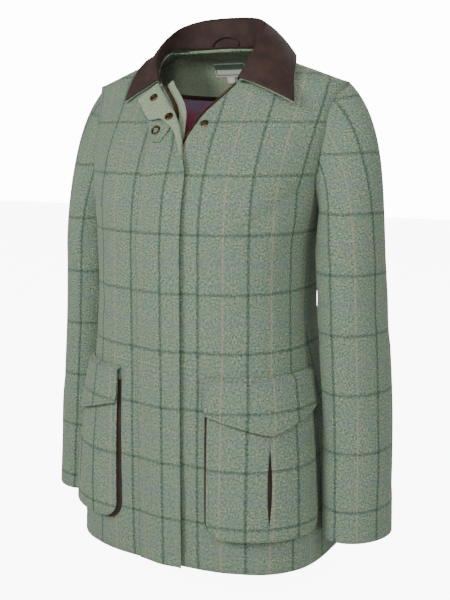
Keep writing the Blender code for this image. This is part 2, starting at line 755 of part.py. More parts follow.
def build_zip_and_placket():
    """The placket, the two zip tapes and the guard strip behind the right one."""
    ones = np.ones((len(STRIP_ROWS), 1))
    placket = placket_grid()
    cloth("placket", [placket], TWEED, "tweed")
    tape = np.linspace(TAPE_IN, TAPE_OUT, 3)[None, :] * ones
    cloth("zip_tape_left", [edge_strip(False, STRIP_ROWS, tape, TAPE_DEPTH * ones)], TAPE, "tape", flip=True)
    cloth("zip_tape_right", [edge_strip(True, STRIP_ROWS, tape, TAPE_DEPTH * ones)], TAPE, "tape")
    guard = np.linspace(GUARD_IN, GUARD_OUT, 4)[None, :] * ones
    cloth("zip_guard", [edge_strip(True, STRIP_ROWS, guard, GUARD_DEPTH * ones)], FACING, "tweed")
    return placket


def surface_frame(x, z, lift):
    """A place on the front and the directions across, up and out there."""
    turn = turn_at_x(np.array(x), np.array(z))
    sign = -1 if x < 0 else 1
    place = lifted(np.abs(turn), np.array(z), lift) * np.array([sign, 1, 1])
    out = body_normal(np.abs(turn), np.array(z)) * np.array([sign, 1, 1])
    across = unit(np.cross(out, np.array([0, 0, 1])))
    across = across if across[0] > 0 else -across
    up = unit(np.cross(across, -out))
    up = up if up[2] > 0 else -up
    return place, across, up, out


def add_blocks(name, frame, lines, filled, material):
    """One solid from the filled cells of a small lattice of uneven spacing.

    lines holds the cell walls across, up and out in millimetres; filled holds the cell
    ranges of the blocks. Only faces between a filled and an empty cell are made.
    """
    place, *ways = frame
    counts = [len(line) - 1 for line in lines]
    cells = np.zeros([count + 2 for count in counts], bool)
    for (a0, a1), (b0, b1), (c0, c1) in filled:
        cells[a0 + 1:a1 + 1, b0 + 1:b1 + 1, c0 + 1:c1 + 1] = True
    corners, faces = {}, []

    def corner(key):
        if key not in corners:
            corners[key] = len(corners)
        return corners[key]

    for axis in range(3):
        for side in (0, 1):
            step = 1 if side else -1
            bare = cells & ~np.roll(cells, -step, axis)
            for cell in np.argwhere(bare):
                low = cell - 1
                ring = []
                for u, v in ((0, 0), (1, 0), (1, 1), (0, 1)):
                    key = low.copy()
                    key[axis] += side
                    key[(axis + 1) % 3] += u
                    key[(axis + 2) % 3] += v
                    ring.append(corner(tuple(int(k) for k in key)))
                faces.append(ring if side else ring[::-1])
    points = [
        place + sum(way * line[k] * MM for way, line, k in zip(ways, lines, key))
        for key in corners
    ]
    if np.dot(np.cross(ways[0], ways[1]), ways[2]) < 0:
        faces = [face[::-1] for face in faces]
    add_object(name, points, faces, material)


def add_turned(name, frame, profile, material, count=20):
    """A small part turned about the outward direction from a profile of radii and heights.

    A profile that starts and ends on the axis makes a disc; any other makes a ring.
    """
    place, across, up, out = frame
    angles = np.linspace(0, 2 * math.pi, count, endpoint=False)
    points, rings = [], []
    for radius, height in profile:
        centre = place + out * height * MM
        if radius == 0:
            rings.append([len(points)] * count)
            points.append(centre)
            continue
        rings.append([len(points) + k for k in range(count)])
        points += [centre + (across * math.cos(a) + up * math.sin(a)) * radius * MM for a in angles]
    pairs = list(zip(rings, rings[1:]))
    if profile[0][0] > 0:
        pairs.append((rings[-1], rings[0]))
    faces = []
    for low, high in pairs:
        for k in range(count):
            n = (k + 1) % count
            ring = [low[k], low[n], high[n], high[k]]
            faces.append([v for i, v in enumerate(ring) if v not in ring[:i]])
    if np.dot(np.cross(across, up), out) < 0:
        faces = [face[::-1] for face in faces]
    add_object(name, points, faces, material)


def build_slider():
    """The zip slider, two plates either side of the tapes, and the pull tab on its bail.

    The bail is the arch on the front plate that the pull's top bar runs through.
    """
    frame = surface_frame(ZIP_X, SLIDER_Z, 0)
    add_blocks("zip_slider", frame, SLIDER_WALLS, SLIDER_PLATES + SLIDER_BAIL, "brass")
    add_blocks("zip_pull", frame, PULL_WALLS, PULL_TAB + PULL_BAR, "brass")


def build_throat(placket):
    """The throat tab, its ring snap, the stud it meets and the sockets in the placket."""
    rows = by_height(TAB, np.array([row[0] for row in TAB]) * MM)
    x = rows[:, 1:2] + (rows[:, 2:3] - rows[:, 1:2]) * np.linspace(0, 1, 5)[None, :]
    x = x * MM
    z = rows[:, :1] * MM * np.ones_like(x)
    turn = turn_at_x(x, z)
    points = lifted(np.abs(turn), z, TAB_LIFT * np.ones_like(x))
    points[..., 0] *= np.where(x < 0, -1, 1)
    cloth("throat_tab", [points], TWEED, "tweed")
    add_turned("tab_snap", surface_frame(*TAB_SNAP, TAB_LIFT + LAY_GAP), RING_PROFILE, "brass")
    add_turned("front_stud", surface_frame(*STUD, LAY_GAP), STUD_PROFILE, "brass")
    normals = grid_normals(placket)
    for label, z in SOCKETS:
        row = int(np.argmin(np.abs(STRIP_ROWS - z)))
        out = -normals[row, -3]
        place = placket[row, -3] + out * (TWEED + LAY_GAP)
        across = unit(np.cross(out, np.array([0, 0, 1])))
        frame = (place, across, unit(np.cross(out, across)), out)
        add_turned("placket_socket_" + label, frame, SOCKET_PROFILE, "brass")


def pocket_half_width(z):
    """Half the pocket's width at a height: full width with quarter-round bottom corners."""
    half = (POCKET_OUTER - POCKET_INNER) / 2
    into = np.clip((POCKET_BOTTOM + POCKET_CORNER - z) / POCKET_CORNER, 0, 1)
    return half - POCKET_CORNER * (1 - np.sqrt(1 - into**2))


POCKET_MIDDLE = (POCKET_INNER + POCKET_OUTER) / 2


def pocket_lift(arc, z):
    """How far the pocket's face stands off the coat: least at its top, most low in the middle."""
    down = np.clip((POCKET_TOP - z) / (POCKET_TOP - POCKET_BOTTOM), 0, 1)
    edge = np.clip(np.abs(arc - POCKET_MIDDLE) / pocket_half_width(POCKET_TOP), 0, 1)
    fill = np.sin(down * math.pi * POCKET_FULLEST)**1.2
    middle = POCKET_LIFT_TOP + (POCKET_LIFT_BOTTOM - POCKET_LIFT_TOP) * fill
    side = POCKET_LIFT_TOP + (POCKET_LIFT_SIDE - POCKET_LIFT_TOP) * np.sin(down * math.pi / 2)
    return side + (middle - side) * (1 - edge**2.5)


def on_front(arc, z, lift):
    """Points at an arc's length round the front, moved out by a lift."""
    return lifted(turn_at_arc(arc, z), z, lift)


def build_pocket(side):
    """One bellows pocket: two face halves parted at the slit, its backing, gusset and flap."""
    right = side == "right"
    z = np.array(POCKET_ROWS) * MM
    slit = np.clip(np.sin(np.clip((SLIT_TOP - z) / (SLIT_TOP - SLIT_BOTTOM), 0, 1) * math.pi), 0, 1)
    slit = SLIT_SEAM + (SLIT_HALF - SLIT_SEAM) * slit
    half = pocket_half_width(z)
    part = np.linspace(0, 1, 5)[None, :]
    rows = z[:, None] * np.ones_like(part)
    for label, way in (("inner", -1), ("outer", 1)):
        near = POCKET_MIDDLE + way * slit[:, None]
        far = POCKET_MIDDLE + way * half[:, None]
        first, last = (far, near) if way < 0 else (near, far)
        arc = first + (last - first) * part
        face = on_front(arc, rows, pocket_lift(arc, rows))
        name = "pocket_" + label + "_" + side
        cloth(name, [face], TWEED, "tweed", right=right, pull=False)
    z = np.linspace(SLIT_TOP + 10 * MM, SLIT_BOTTOM - 6 * MM, 7)[:, None]
    arc = POCKET_MIDDLE + SLIT_BACKING_HALF * np.array([-1, -0.3, 0.3, 1])[None, :] * np.ones_like(z)
    rows = z * np.ones_like(arc)
    backing = on_front(arc, rows, pocket_lift(arc, rows) - SLIT_BACKING_DEPTH)
    cloth("slit_backing_" + side, [backing], FACING, "moleskin", right=right)
    build_gusset(side, right)
    build_flap(side, right)


def build_gusset(side, right):
    """The brown side and bottom wall of a pocket, sloping in from the coat to the face."""
    half = (POCKET_OUTER - POCKET_INNER) / 2
    straight = np.linspace(POCKET_TOP - 10 * MM, POCKET_BOTTOM + POCKET_CORNER, 8)
    turn = np.linspace(0, math.pi / 2, 6)[1:]
    low = POCKET_BOTTOM + POCKET_CORNER
    outline = [(half, z, 1.0, 0.0) for z in straight]
    outline += [
        (half - POCKET_CORNER * (1 - math.cos(a)), low - POCKET_CORNER * math.sin(a), math.cos(a), math.sin(a))
        for a in turn
    ]
    outline = np.array(outline)
    across = np.linspace(half - POCKET_CORNER, 0, 5)[1:]
    bottom = np.array([(x, POCKET_BOTTOM, 0.0, 1.0) for x in across])
    outline = np.concatenate([outline, bottom])
    other = outline[-2::-1] * np.array([-1, 1, -1, 1])
    outline = np.concatenate([outline, other])
    grids = []
    for inset, share in ((-GUSSET_FLARE, 0.0), (GUSSET_INSET * 0.2, 0.5), (GUSSET_INSET, 1.0)):
        arc = POCKET_MIDDLE + outline[:, 0] - inset * outline[:, 2]
        z = outline[:, 1] + inset * outline[:, 3]
        top = pocket_lift(arc, z) - TWEED - INNER_GAP
        bottom = FACING + LAY_GAP + 0 * top
        grids.append(on_front(arc, z, bottom + (np.maximum(top, bottom) - bottom) * share))
    gusset = np.stack(grids, axis=1)
    cloth("gusset_" + side, [gusset], FACING, "moleskin", flip=True, right=right)


def build_flap(side, right):
    """A pocket flap: sewn along its top, falling over the pocket to a shallow point."""
    half = (POCKET_OUTER - POCKET_INNER) / 2 + FLAP_OVERHANG
    part = np.linspace(-1, 1, 11)[None, :]
    bottom = FLAP_CORNER + (FLAP_POINT - FLAP_CORNER) * (1 - np.abs(part))
    down = np.array([0, 0.1, 0.35, 0.68, 1])[:, None]
    z = FLAP_TOP + (bottom - FLAP_TOP) * down
    arc = POCKET_MIDDLE + half * part * np.ones_like(z)
    on_pocket = np.clip(down / 0.1, 0, 1)
    low = TWEED + LAY_GAP
    lift = low + (pocket_lift(arc, z) + FLAP_STEP + TWEED - low) * on_pocket
    cloth("flap_" + side, [on_front(arc, z, lift)], TWEED, "tweed", right=right)


def build_loop():
    """The hanging loop, a round tube standing against the inside of the collar stand."""
    stations = np.linspace(0, 2, 9)
    base, roll, _ = collar_line(stations, False)
    angles = np.linspace(0, math.pi, 11)
    sides = LOOP_SIDES
    line = []
    for a in angles:
        x = LOOP_SPAN / 2 * math.cos(a)
        low = np.array([np.interp(abs(x), base[:, 0], base[:, k]) for k in range(3)])
        high = np.array([np.interp(abs(x), roll[:, 0], roll[:, k]) for k in range(3)])
        low[0], high[0] = x, x
        up = unit(high - low)
        line.append(low + up * (LOOP_RISE * math.sin(a) + LOOP_FOOT) + np.array([0, -1, 0]) * LOOP_OFF)
    line = np.array(line)
    tangents = unit(np.gradient(line, axis=0))
    points, faces = [], []
    for centre, tangent in zip(line, tangents):
        across = unit(np.cross(tangent, np.array([0, -1, 0])))
        out = unit(np.cross(across, tangent))
        for k in range(sides):
            b = 2 * math.pi * k / sides
            points.append(centre + (across * math.cos(b) + out * math.sin(b)) * LOOP_RADIUS)
    for i in range(len(angles) - 1):
        for k in range(sides):
            n = (k + 1) % sides
            faces.append([i * sides + k, (i + 1) * sides + k, (i + 1) * sides + n, i * sides + n])
    last = (len(angles) - 1) * sides
    faces.append(list(range(sides)))
    faces.append([last + k for k in range(sides)][::-1])
    add_object("hanger_loop", points, faces, "moleskin")


def build_neck():
    """The facing, lining, label and size tag inside the back neck."""
    turns = np.radians(np.linspace(-FACING_TURN, FACING_TURN, 13))
    top = FACING_TOP - FACING_TOP_FALL * (turns / (math.pi / 2))**2
    low = -FACING_DEPTH * np.cos(turns * 0.9) * np.ones_like(top)
    down = np.linspace(0, 1, 5)[:, None]
    z = top + (low - top) * down
    inside = -TWEED - INNER_GAP

    def inner_grid(turn, height, lift):
        points = lifted(np.abs(turn) + 0 * height, height, lift + 0 * height, back=True)
        points[..., 0] *= np.where(turn < 0, -1, 1)
        return points

    cloth("neck_facing", [inner_grid(turns[None, :], z, inside)], FACING, "tweed", flip=True)
    behind = inside - FACING - 2 * INNER_GAP
    bound = z[-1:] + (z[-2:-1] - z[-1:]) * np.array(BINDING_ROWS)[:, None]
    cloth("facing_binding", [inner_grid(turns[None, :], bound, behind)], LABEL, "moleskin", flip=True)
    wide = np.radians(np.linspace(-LINING_TURN, LINING_TURN, 15))[None, :]
    faced = np.minimum(np.abs(wide), np.radians(FACING_TURN))
    lining_top = -LINING_DROP - FACING_DEPTH * np.cos(faced * 0.9)
    rows = lining_top + (LINING_BOTTOM - lining_top) * np.linspace(0, 1, 8)[:, None]
    cloth("lining", [inner_grid(wide, rows, -LINING_IN)], SATIN, "satin", flip=True)
    for name, width, high, low_z, lift in (
        ("neck_label", LABEL_WIDTH, LABEL_TOP, LABEL_BOTTOM, inside - FACING - LAY_GAP),
        ("size_tag", SIZE_TAG_WIDTH, LABEL_BOTTOM - SEAM_GAP, SIZE_TAG_BOTTOM, inside - FACING - LAY_GAP),
    ):
        x = np.linspace(-width / 2, width / 2, 5)[None, :]
        rows = np.linspace(high, low_z, 3)[:, None]
        cloth(name, [inner_grid(turn_at_x(x, rows, back=True), rows, lift)], LABEL, "label", flip=True)


def main():
    """Clears the scene and builds the coat."""
    for item in list(bpy.data.objects):
        bpy.data.objects.remove(item, do_unlink=True)
    collection = bpy.data.collections.new(COAT)
    bpy.context.scene.collection.children.link(collection)
    build_body()
    build_collar()
    build_throat(build_zip_and_placket())
    build_slider()
    build_neck()
    build_loop()
    for side in ("left", "right"):
        build_pocket(side)


main()
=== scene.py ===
# %% [markdown]
# # A tweed field coat, filled out with no wearer
#
# The coat is worked out twice from the same short tables: once as solids in part.py, and here
# as cloth. Each sheet starts on the same body surface, gets a finer grid, soft creases, rounded
# edges, a cut-flat UV map for its weave and check, and its stitching.
#
# The origin lies between the high points of the shoulders. +Z is up, the front faces -Y and
# the wearer's left is +X.

import math

import bpy
import numpy as np
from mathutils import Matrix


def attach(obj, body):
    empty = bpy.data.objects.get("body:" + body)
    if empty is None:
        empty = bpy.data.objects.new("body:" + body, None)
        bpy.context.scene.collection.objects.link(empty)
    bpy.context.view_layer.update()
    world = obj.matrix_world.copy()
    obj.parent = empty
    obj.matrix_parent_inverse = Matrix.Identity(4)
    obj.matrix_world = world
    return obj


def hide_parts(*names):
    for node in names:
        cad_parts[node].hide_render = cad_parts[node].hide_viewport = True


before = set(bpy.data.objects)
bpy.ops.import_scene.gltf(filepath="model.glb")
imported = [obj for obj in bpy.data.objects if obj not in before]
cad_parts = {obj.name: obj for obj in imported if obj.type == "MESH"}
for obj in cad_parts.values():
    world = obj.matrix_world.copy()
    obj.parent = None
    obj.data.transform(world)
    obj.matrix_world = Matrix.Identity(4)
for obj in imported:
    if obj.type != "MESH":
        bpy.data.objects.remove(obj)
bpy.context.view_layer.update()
print("CAD nodes:", len(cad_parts))

# %% [markdown]
# ## The coat's measurements
# The tables give level sections of the body, rows of each panel, rings of the sleeve and the
# line of the collar. They are the same as in the part's source.

# %% Measurements
MM = 0.001

# Cloth thicknesses, the gap left at every seam and the gap below what lies on a panel
TWEED = 2.0 * MM
FACING = 1.2 * MM
MOLESKIN = 1.4 * MM
TAPE = 0.9 * MM
SATIN = 0.8 * MM
LABEL = 0.6 * MM
SEAM_GAP = 0.3 * MM
ARMHOLE_GAP = 0.45 * MM
LAY_GAP = 0.35 * MM
INNER_GAP = 1.0 * MM
MITRE_LIMIT = 1.6

# Level sections of the body, squared ellipses: half width, where the side seam or the shoulder
# line lies fore and aft, the centre front, the centre back, and how square each half is
# Columns: z, half width, side y, front y, back y, front full, back full
SECTIONS = (
    (8, 50, 18, 6, 53, 2.0, 2.0),
    (0, 72, 20, -4, 57, 2.0, 2.0),
    (-12, 105, 23, -18, 63, 2.0, 2.0),
    (-30, 155, 28, -35, 71, 2.0, 2.1),
    (-45, 196, 32, -45, 77, 2.0, 2.2),
    (-49, 207, 33, -48, 79, 2.0, 2.2),
    (-75, 206, 30, -65, 88, 2.0, 2.3),
    (-99, 202, 25, -83, 94, 2.0, 2.4),
    (-122, 198, 20, -98, 98, 2.1, 2.5),
    (-150, 191, 15, -114, 102, 2.2, 2.6),
    (-184, 182, 11, -128, 105, 2.4, 2.7),
    (-216, 176, 10, -136, 105, 2.5, 2.7),
    (-285, 164, 3, -143, 104, 2.4, 2.8),
    (-370, 163, -10, -143, 113, 2.4, 2.9),
    (-460, 172, -6, -143, 128, 2.5, 2.8),
    (-600, 188, 4, -143, 157, 2.7, 3.1),
    (-736, 199, 10, -142, 174, 2.8, 3.4),
)

# Rows of a front, each from its free edge or the neckline to the armhole or the side seam.
# The right front's edge crosses the centre where it is folded open at the neck.
# Columns: edge x, edge z, side y, side z, right edge x
FRONT_ROWS = (
    (72, 0, 33, -49, 72),
    (79, -12, 12, -63, 74),
    (79, -30, -5, -86, 68),
    (70, -50, -13, -114, 52),
    (32, -98, -20, -146, 10),
    (16, -148, -21, -178, 0),
    (13, -198, -12, -203, -3),
    (13, -258, 10, -216, -3),
    (13, -310, 3, -285, -3),
    (13, -375, -10, -370, -3),
    (13, -460, -6, -460, -3),
    (13, -600, 4, -600, -3),
    (13, -736, 10, -736, -3),
)

# Rows of the back's left half, from the neckline or the centre back
BACK_ROWS = (
    (72, 0, 33, -49, 72),
    (60, 1, 54, -66, 60),
    (34, 3, 67, -92, 34),
    (0, 4, 72, -122, 0),
    (0, -54, 69, -154, 0),
    (0, -122, 55, -184, 0),
    (0, -190, 34, -206, 0),
    (0, -258, 10, -216, 0),
    (0, -310, 3, -285, 0),
    (0, -375, -10, -370, 0),
    (0, -460, -6, -460, 0),
    (0, -600, 4, -600, 0),
    (0, -736, 10, -736, 0),
)
UNDERARM_ROW = 7
NAPE_ROW = 3
NECK_ROW = 3
ZIP_ROW = 6

# Rings of the left sleeve below the armhole: height, centre, half widths across the arm's
# long and short way, and how far the long way is turned out of the fore-and-aft line
# Columns: z, x, y, long, short, turn
SLEEVE = (
    (-290, 217, 24, 62, 48, 0),
    (-390, 224, 25, 62, 47, 8),
    (-507, 234, 21, 60, 45, 16),
    (-600, 239, 14, 58, 44, 21),
    (-695, 243, 8, 57, 43, 25),
)
CAP_TILT_TOP = 42
CAP_TILT_UNDER = 74
UNDER_SLEEVE_FRONT = 0.34
UNDER_SLEEVE_BACK = 0.66

# The collar from the centre back to its front end: the neck seam, the roll and the outer edge,
# and how much nearer the centre its roll and edge lie on the wearer's right
# Columns: base x, base y, base z, roll x, roll y, roll z, edge x, edge y, edge z, base in right,
# roll in right, edge in right
COLLAR = (
    (0, 55, 7, 0, 67, 52, 0, 108, 9, 0, 0, 0),
    (34, 49, 6, 37, 60, 50, 58, 99, 4, 0, 4, 4),
    (60, 36, 5, 67, 42, 43, 98, 73, -3, 0, 12, 14),
    (72, 19, 4, 82, 20, 32, 124, 36, -10, 0, 15, 26),
    (79, -4, -9, 88, -7, 14, 140, -3, -27, 5, 17, 36),
    (79, -27, -27, 86, -34, -11, 151, -32, -51, 11, 18, 46),
    (72, -48, -46, 76, -54, -42, 161, -52, -76, 20, 22, 54),
)
COLLAR_CLEAR = 4.4 * MM
COLLAR_UNDER_RIM = 1.2 * MM
COLLAR_LAY = MOLESKIN + 2.6 * INNER_GAP
COLLAR_ROLL_LAY = MOLESKIN + 1.6 * INNER_GAP
COLLAR_ROLL_WIDTH = 9 * MM
COLLAR_ROLL_LEAST = 6 * MM
COLLAR_ROLL_SHARE = 0.5
COLLAR_FALL_MIDDLE = 0.3
COLLAR_CROWN = 2.5 * MM

# The placket lies over the zip from its sewn root to its free edge. Its upper part rolls back:
# for each height, where the roll starts, measured out from the zip, and how far it turns
PLACKET_ROOT = -40 * MM
PLACKET_EDGE = 31 * MM
PLACKET_LAY = 0.6 * MM
PLACKET_BULGE = 6.0 * MM
PLACKET_SETTLE = 0.55
PLACKET_OPEN_Z = -150 * MM
PLACKET_CLOSING = 50 * MM
PLACKET_ROLL_RADIUS = 1.9 * MM
# Columns: z, roll start, turn, edge
PLACKET_ROLL = (
    (-44, -6, 180, 33),
    (-80, -5, 180, 31),
    (-100, 2, 178, 25),
    (-120, 11, 172, 24),
    (-145, 18, 150, 27),
    (-165, 21, 70, 31),
    (-195, 24, 0, 31),
    (-740, 24, 0, 31),
)

# Zip: a tape each side and a guard strip inside the right edge.
# Depths are measured out from the coat's outer face.
TAPE_IN = -9 * MM
TAPE_OUT = 4.4 * MM
TAPE_DEPTH = -3.3 * MM
GUARD_IN = -14 * MM
GUARD_OUT = 15 * MM
GUARD_DEPTH = -6.4 * MM

# Bellows pockets, measured round the coat from the centre front
POCKET_INNER = 75 * MM
POCKET_OUTER = 243 * MM
POCKET_TOP = -462 * MM
POCKET_BOTTOM = -682 * MM
POCKET_CORNER = 26 * MM
POCKET_LIFT_TOP = 4.5 * MM
POCKET_LIFT_BOTTOM = 16.0 * MM
POCKET_LIFT_SIDE = 9.0 * MM
POCKET_FULLEST = 0.62
SLIT_TOP = -548 * MM
SLIT_BOTTOM = -662 * MM
SLIT_HALF = 3.4 * MM
SLIT_SEAM = 0.45 * MM
SLIT_BACKING_HALF = 14 * MM
SLIT_BACKING_DEPTH = 3.4 * MM
GUSSET_INSET = 3 * MM
GUSSET_FLARE = 5 * MM
FLAP_TOP = -452 * MM
FLAP_CORNER = -503 * MM
FLAP_POINT = -532 * MM
FLAP_OVERHANG = 3 * MM
FLAP_STEP = 2.2 * MM

# What is sewn inside the back neck
FACING_DEPTH = 68 * MM
FACING_TURN = 62
FACING_TOP = 2 * MM
FACING_TOP_FALL = 3 * MM
LINING_BOTTOM = -330 * MM
LINING_TURN = 74
LINING_IN = 3.7 * MM
LABEL_WIDTH = 49 * MM
LABEL_TOP = -14 * MM
LABEL_BOTTOM = -34 * MM
SIZE_TAG_WIDTH = 12 * MM
SIZE_TAG_BOTTOM = -43 * MM
LOOP_SPAN = 44 * MM
LOOP_RADIUS = 1.7 * MM
LOOP_RISE = 14 * MM
LOOP_OFF = 2.15 * MM

# The throat tab on the right front, from under the folded placket to its clipped end
# Columns: z, left x, right x
TAB = (
    (-92, -50, -20),
    (-104, -48, -15),
    (-115, -43, -9),
    (-124, -37, -14),
    (-133, -31, -19),
)
TAB_LIFT = 5.2 * MM

# Snaps: where they lie and their turned profiles, radius and height in millimetres
TAB_SNAP = (-30 * MM, -118 * MM)
STUD = (41 * MM, -106 * MM)
SOCKETS = (("upper", -65 * MM), ("lower", -99 * MM))
RING_PROFILE = ((4.4, 0), (7.1, 0), (7.3, 0.8), (6.4, 1.8), (5.0, 1.8), (4.3, 0.9))
STUD_PROFILE = ((0, 0), (5.6, 0), (5.8, 0.6), (4.6, 1.1), (3.0, 1.2), (2.6, 3.0), (0, 3.4))
SOCKET_PROFILE = ((0, 0), (6.2, 0), (6.4, 0.8), (5.2, 1.5), (3.0, 1.5), (2.6, 0.9), (0, 0.9))

# %% [markdown]
# ## The body surface
# Every level section is a squared ellipse. A turn of 0 is the centre line and a turn of 90
# degrees is the side. Cloth that lies on the coat is this surface moved out by a lift.

# %% Surface mathematics
def spline(knots, values, at):
    """A curve through the rows of a table: cubic, and never past its neighbouring rows.

    The slope at a row is the harmonic mean of the slopes beside it, or level at a turn.
    """
    knots = np.asarray(knots, float)
    values = np.asarray(values, float)
    at = np.clip(np.asarray(at, float), knots[0], knots[-1])
    rise = np.diff(values, axis=0) / np.diff(knots)[:, None]
    product = rise[:-1] * rise[1:]
    total = np.where(np.abs(rise[:-1] + rise[1:]) < 1e-12, 1, rise[:-1] + rise[1:])
    middle = np.where(product > 0, 2 * product / total, 0)
    slopes = np.concatenate([rise[:1], middle, rise[-1:]])
    i = np.clip(np.searchsorted(knots, at, side="right") - 1, 0, len(knots) - 2)
    step = (knots[i + 1] - knots[i])[:, None]
    f = (at - knots[i])[:, None] / step
    return (
        (2 * f**3 - 3 * f**2 + 1) * values[i]
        + (f**3 - 2 * f**2 + f) * step * slopes[i]
        + (3 * f**2 - 2 * f**3) * values[i + 1]
        + (f**3 - f**2) * step * slopes[i + 1]
    )


def unit(vectors):
    """Vectors scaled to length one."""
    length = np.linalg.norm(vectors, axis=-1, keepdims=True)
    return vectors / np.maximum(length, 1e-9)


def by_height(table, z):
    """Rows of a table whose first column is a falling height in millimetres."""
    values = np.asarray(table, float)
    z = np.asarray(z, float)
    return spline(-values[:, 0], values, -z.ravel() / MM).reshape(z.shape + (values.shape[1],))


def reach(turn, full):
    """Radius of a squared circle in the direction of a turn."""
    return (np.abs(np.cos(turn)) ** full + np.abs(np.sin(turn)) ** full) ** (-1 / full)


def body_point(turn, z, back=False):
    """A point of the body surface: turned from the centre line to the side, at a height."""
    turn, z = np.broadcast_arrays(np.asarray(turn, float), np.asarray(z, float))
    row = by_height(SECTIONS, z)
    full = row[..., 6] if back else row[..., 5]
    centre = row[..., 4] if back else row[..., 3]
    radius = reach(turn, full)
    x = row[..., 1] * radius * np.sin(turn)
    y = row[..., 2] + (centre - row[..., 2]) * radius * np.cos(turn)
    return np.stack([x * MM, y * MM, z], axis=-1)


def body_normal(turn, z, back=False):
    """The outward unit normal of the body surface there."""
    turn, z = np.broadcast_arrays(np.asarray(turn, float), np.asarray(z, float))
    small_turn, small_rise = 0.01, 1.5 * MM
    along = body_point(turn + small_turn, z, back) - body_point(turn - small_turn, z, back)
    up = body_point(turn, z + small_rise, back) - body_point(turn, z - small_rise, back)
    normal = unit(np.cross(along, up))
    return -normal if back else normal


def turn_where(measure, target):
    """The turn between nought and a right angle at which a rising measure meets its target."""
    low = np.zeros_like(target)
    high = np.full_like(target, math.pi / 2)
    for _ in range(40):
        middle = (low + high) / 2
        short = measure(middle) < target
        low = np.where(short, middle, low)
        high = np.where(short, high, middle)
    return (low + high) / 2


def turn_at_x(x, z, back=False):
    """The turn at which the surface lies x out from the centre plane. Its sign is that of x."""
    x, z = np.broadcast_arrays(np.asarray(x, float), np.asarray(z, float))
    return np.sign(x) * turn_where(lambda turn: body_point(turn, z, back)[..., 0], np.abs(x))


def turn_at_y(y, z, back=False):
    """The turn at which the surface lies at y, fore and aft."""
    y, z = np.broadcast_arrays(np.asarray(y, float), np.asarray(z, float))
    way = -1 if back else 1
    return turn_where(lambda turn: way * body_point(turn, z, back)[..., 1], way * y)


def lifted(turn, z, lift, back=False):
    """Points moved out from the body surface by a lift."""
    normal = body_normal(turn, z, back)
    return body_point(turn, z, back) + normal * np.asarray(lift, float)[..., None]


def panel_grid(table, right=False, back=False):
    """Points of a panel on the body surface, row by row from its edge to its side.

    Along a row the turn and the height both change evenly. From the centre row down the
    edge runs straight, and there is a corner in the side line at the underarm.
    """
    values = np.asarray(table, float)
    knots = np.arange(len(values))
    rows = spline(knots, values, PANEL_ROWS)
    centre_row = NAPE_ROW if back else ZIP_ROW
    edge_column = 4 if right else 0
    side = slice(2, 4)
    above = PANEL_ROWS <= UNDERARM_ROW
    last = UNDERARM_ROW + 1
    rows[above, side] = spline(knots[:last], values[:last, side], PANEL_ROWS[above])
    rows[~above, side] = spline(knots[UNDERARM_ROW:], values[UNDERARM_ROW:, side], PANEL_ROWS[~above])
    below_v = PANEL_ROWS >= centre_row
    edge_x = np.where(below_v, values[centre_row, edge_column], rows[:, edge_column]) * MM
    edge_z = rows[:, 1] * MM
    side_z = rows[:, 3] * MM
    start = turn_at_x(edge_x, edge_z, back)
    start[0] = math.pi / 2
    end = turn_at_y(rows[:, 2] * MM, side_z, back)
    end[PANEL_ROWS >= UNDERARM_ROW] = math.pi / 2
    end[0] = math.pi / 2
    across = PANEL_COLUMNS[None, :]
    turn = start[:, None] + (end - start)[:, None] * across
    z = edge_z[:, None] + (side_z - edge_z)[:, None] * across
    return body_point(turn, z, back)


def mitred_normals(grid):
    """At each point the mean of the unit normals of the quads round it, long enough for a mitre."""
    down, along = grid[1:, :-1] - grid[:-1, :-1], grid[:-1, 1:] - grid[:-1, :-1]
    down = down + grid[1:, 1:] - grid[:-1, 1:]
    along = along + grid[1:, 1:] - grid[1:, :-1]
    quads = unit(np.cross(down, along))
    total = np.zeros_like(grid)
    for rows in (slice(0, -1), slice(1, None)):
        for columns in (slice(0, -1), slice(1, None)):
            total[rows, columns] += quads
    count = np.linalg.norm(total, axis=2, keepdims=True)
    many = np.zeros(grid.shape[:2] + (1,))
    for rows in (slice(0, -1), slice(1, None)):
        for columns in (slice(0, -1), slice(1, None)):
            many[rows, columns] += 1
    return total / count * np.minimum(many / count, MITRE_LIMIT)


def mirrored(grid):
    """The same points on the wearer's other side."""
    return grid * np.array([-1, 1, 1])


# %% [markdown]
# ## Creases
# A crease is a straight stroke in space with a width and a depth. Its depth fades with the
# square of the distance from the stroke and towards its ends, so that every piece it crosses
# bends alike and no seam opens.

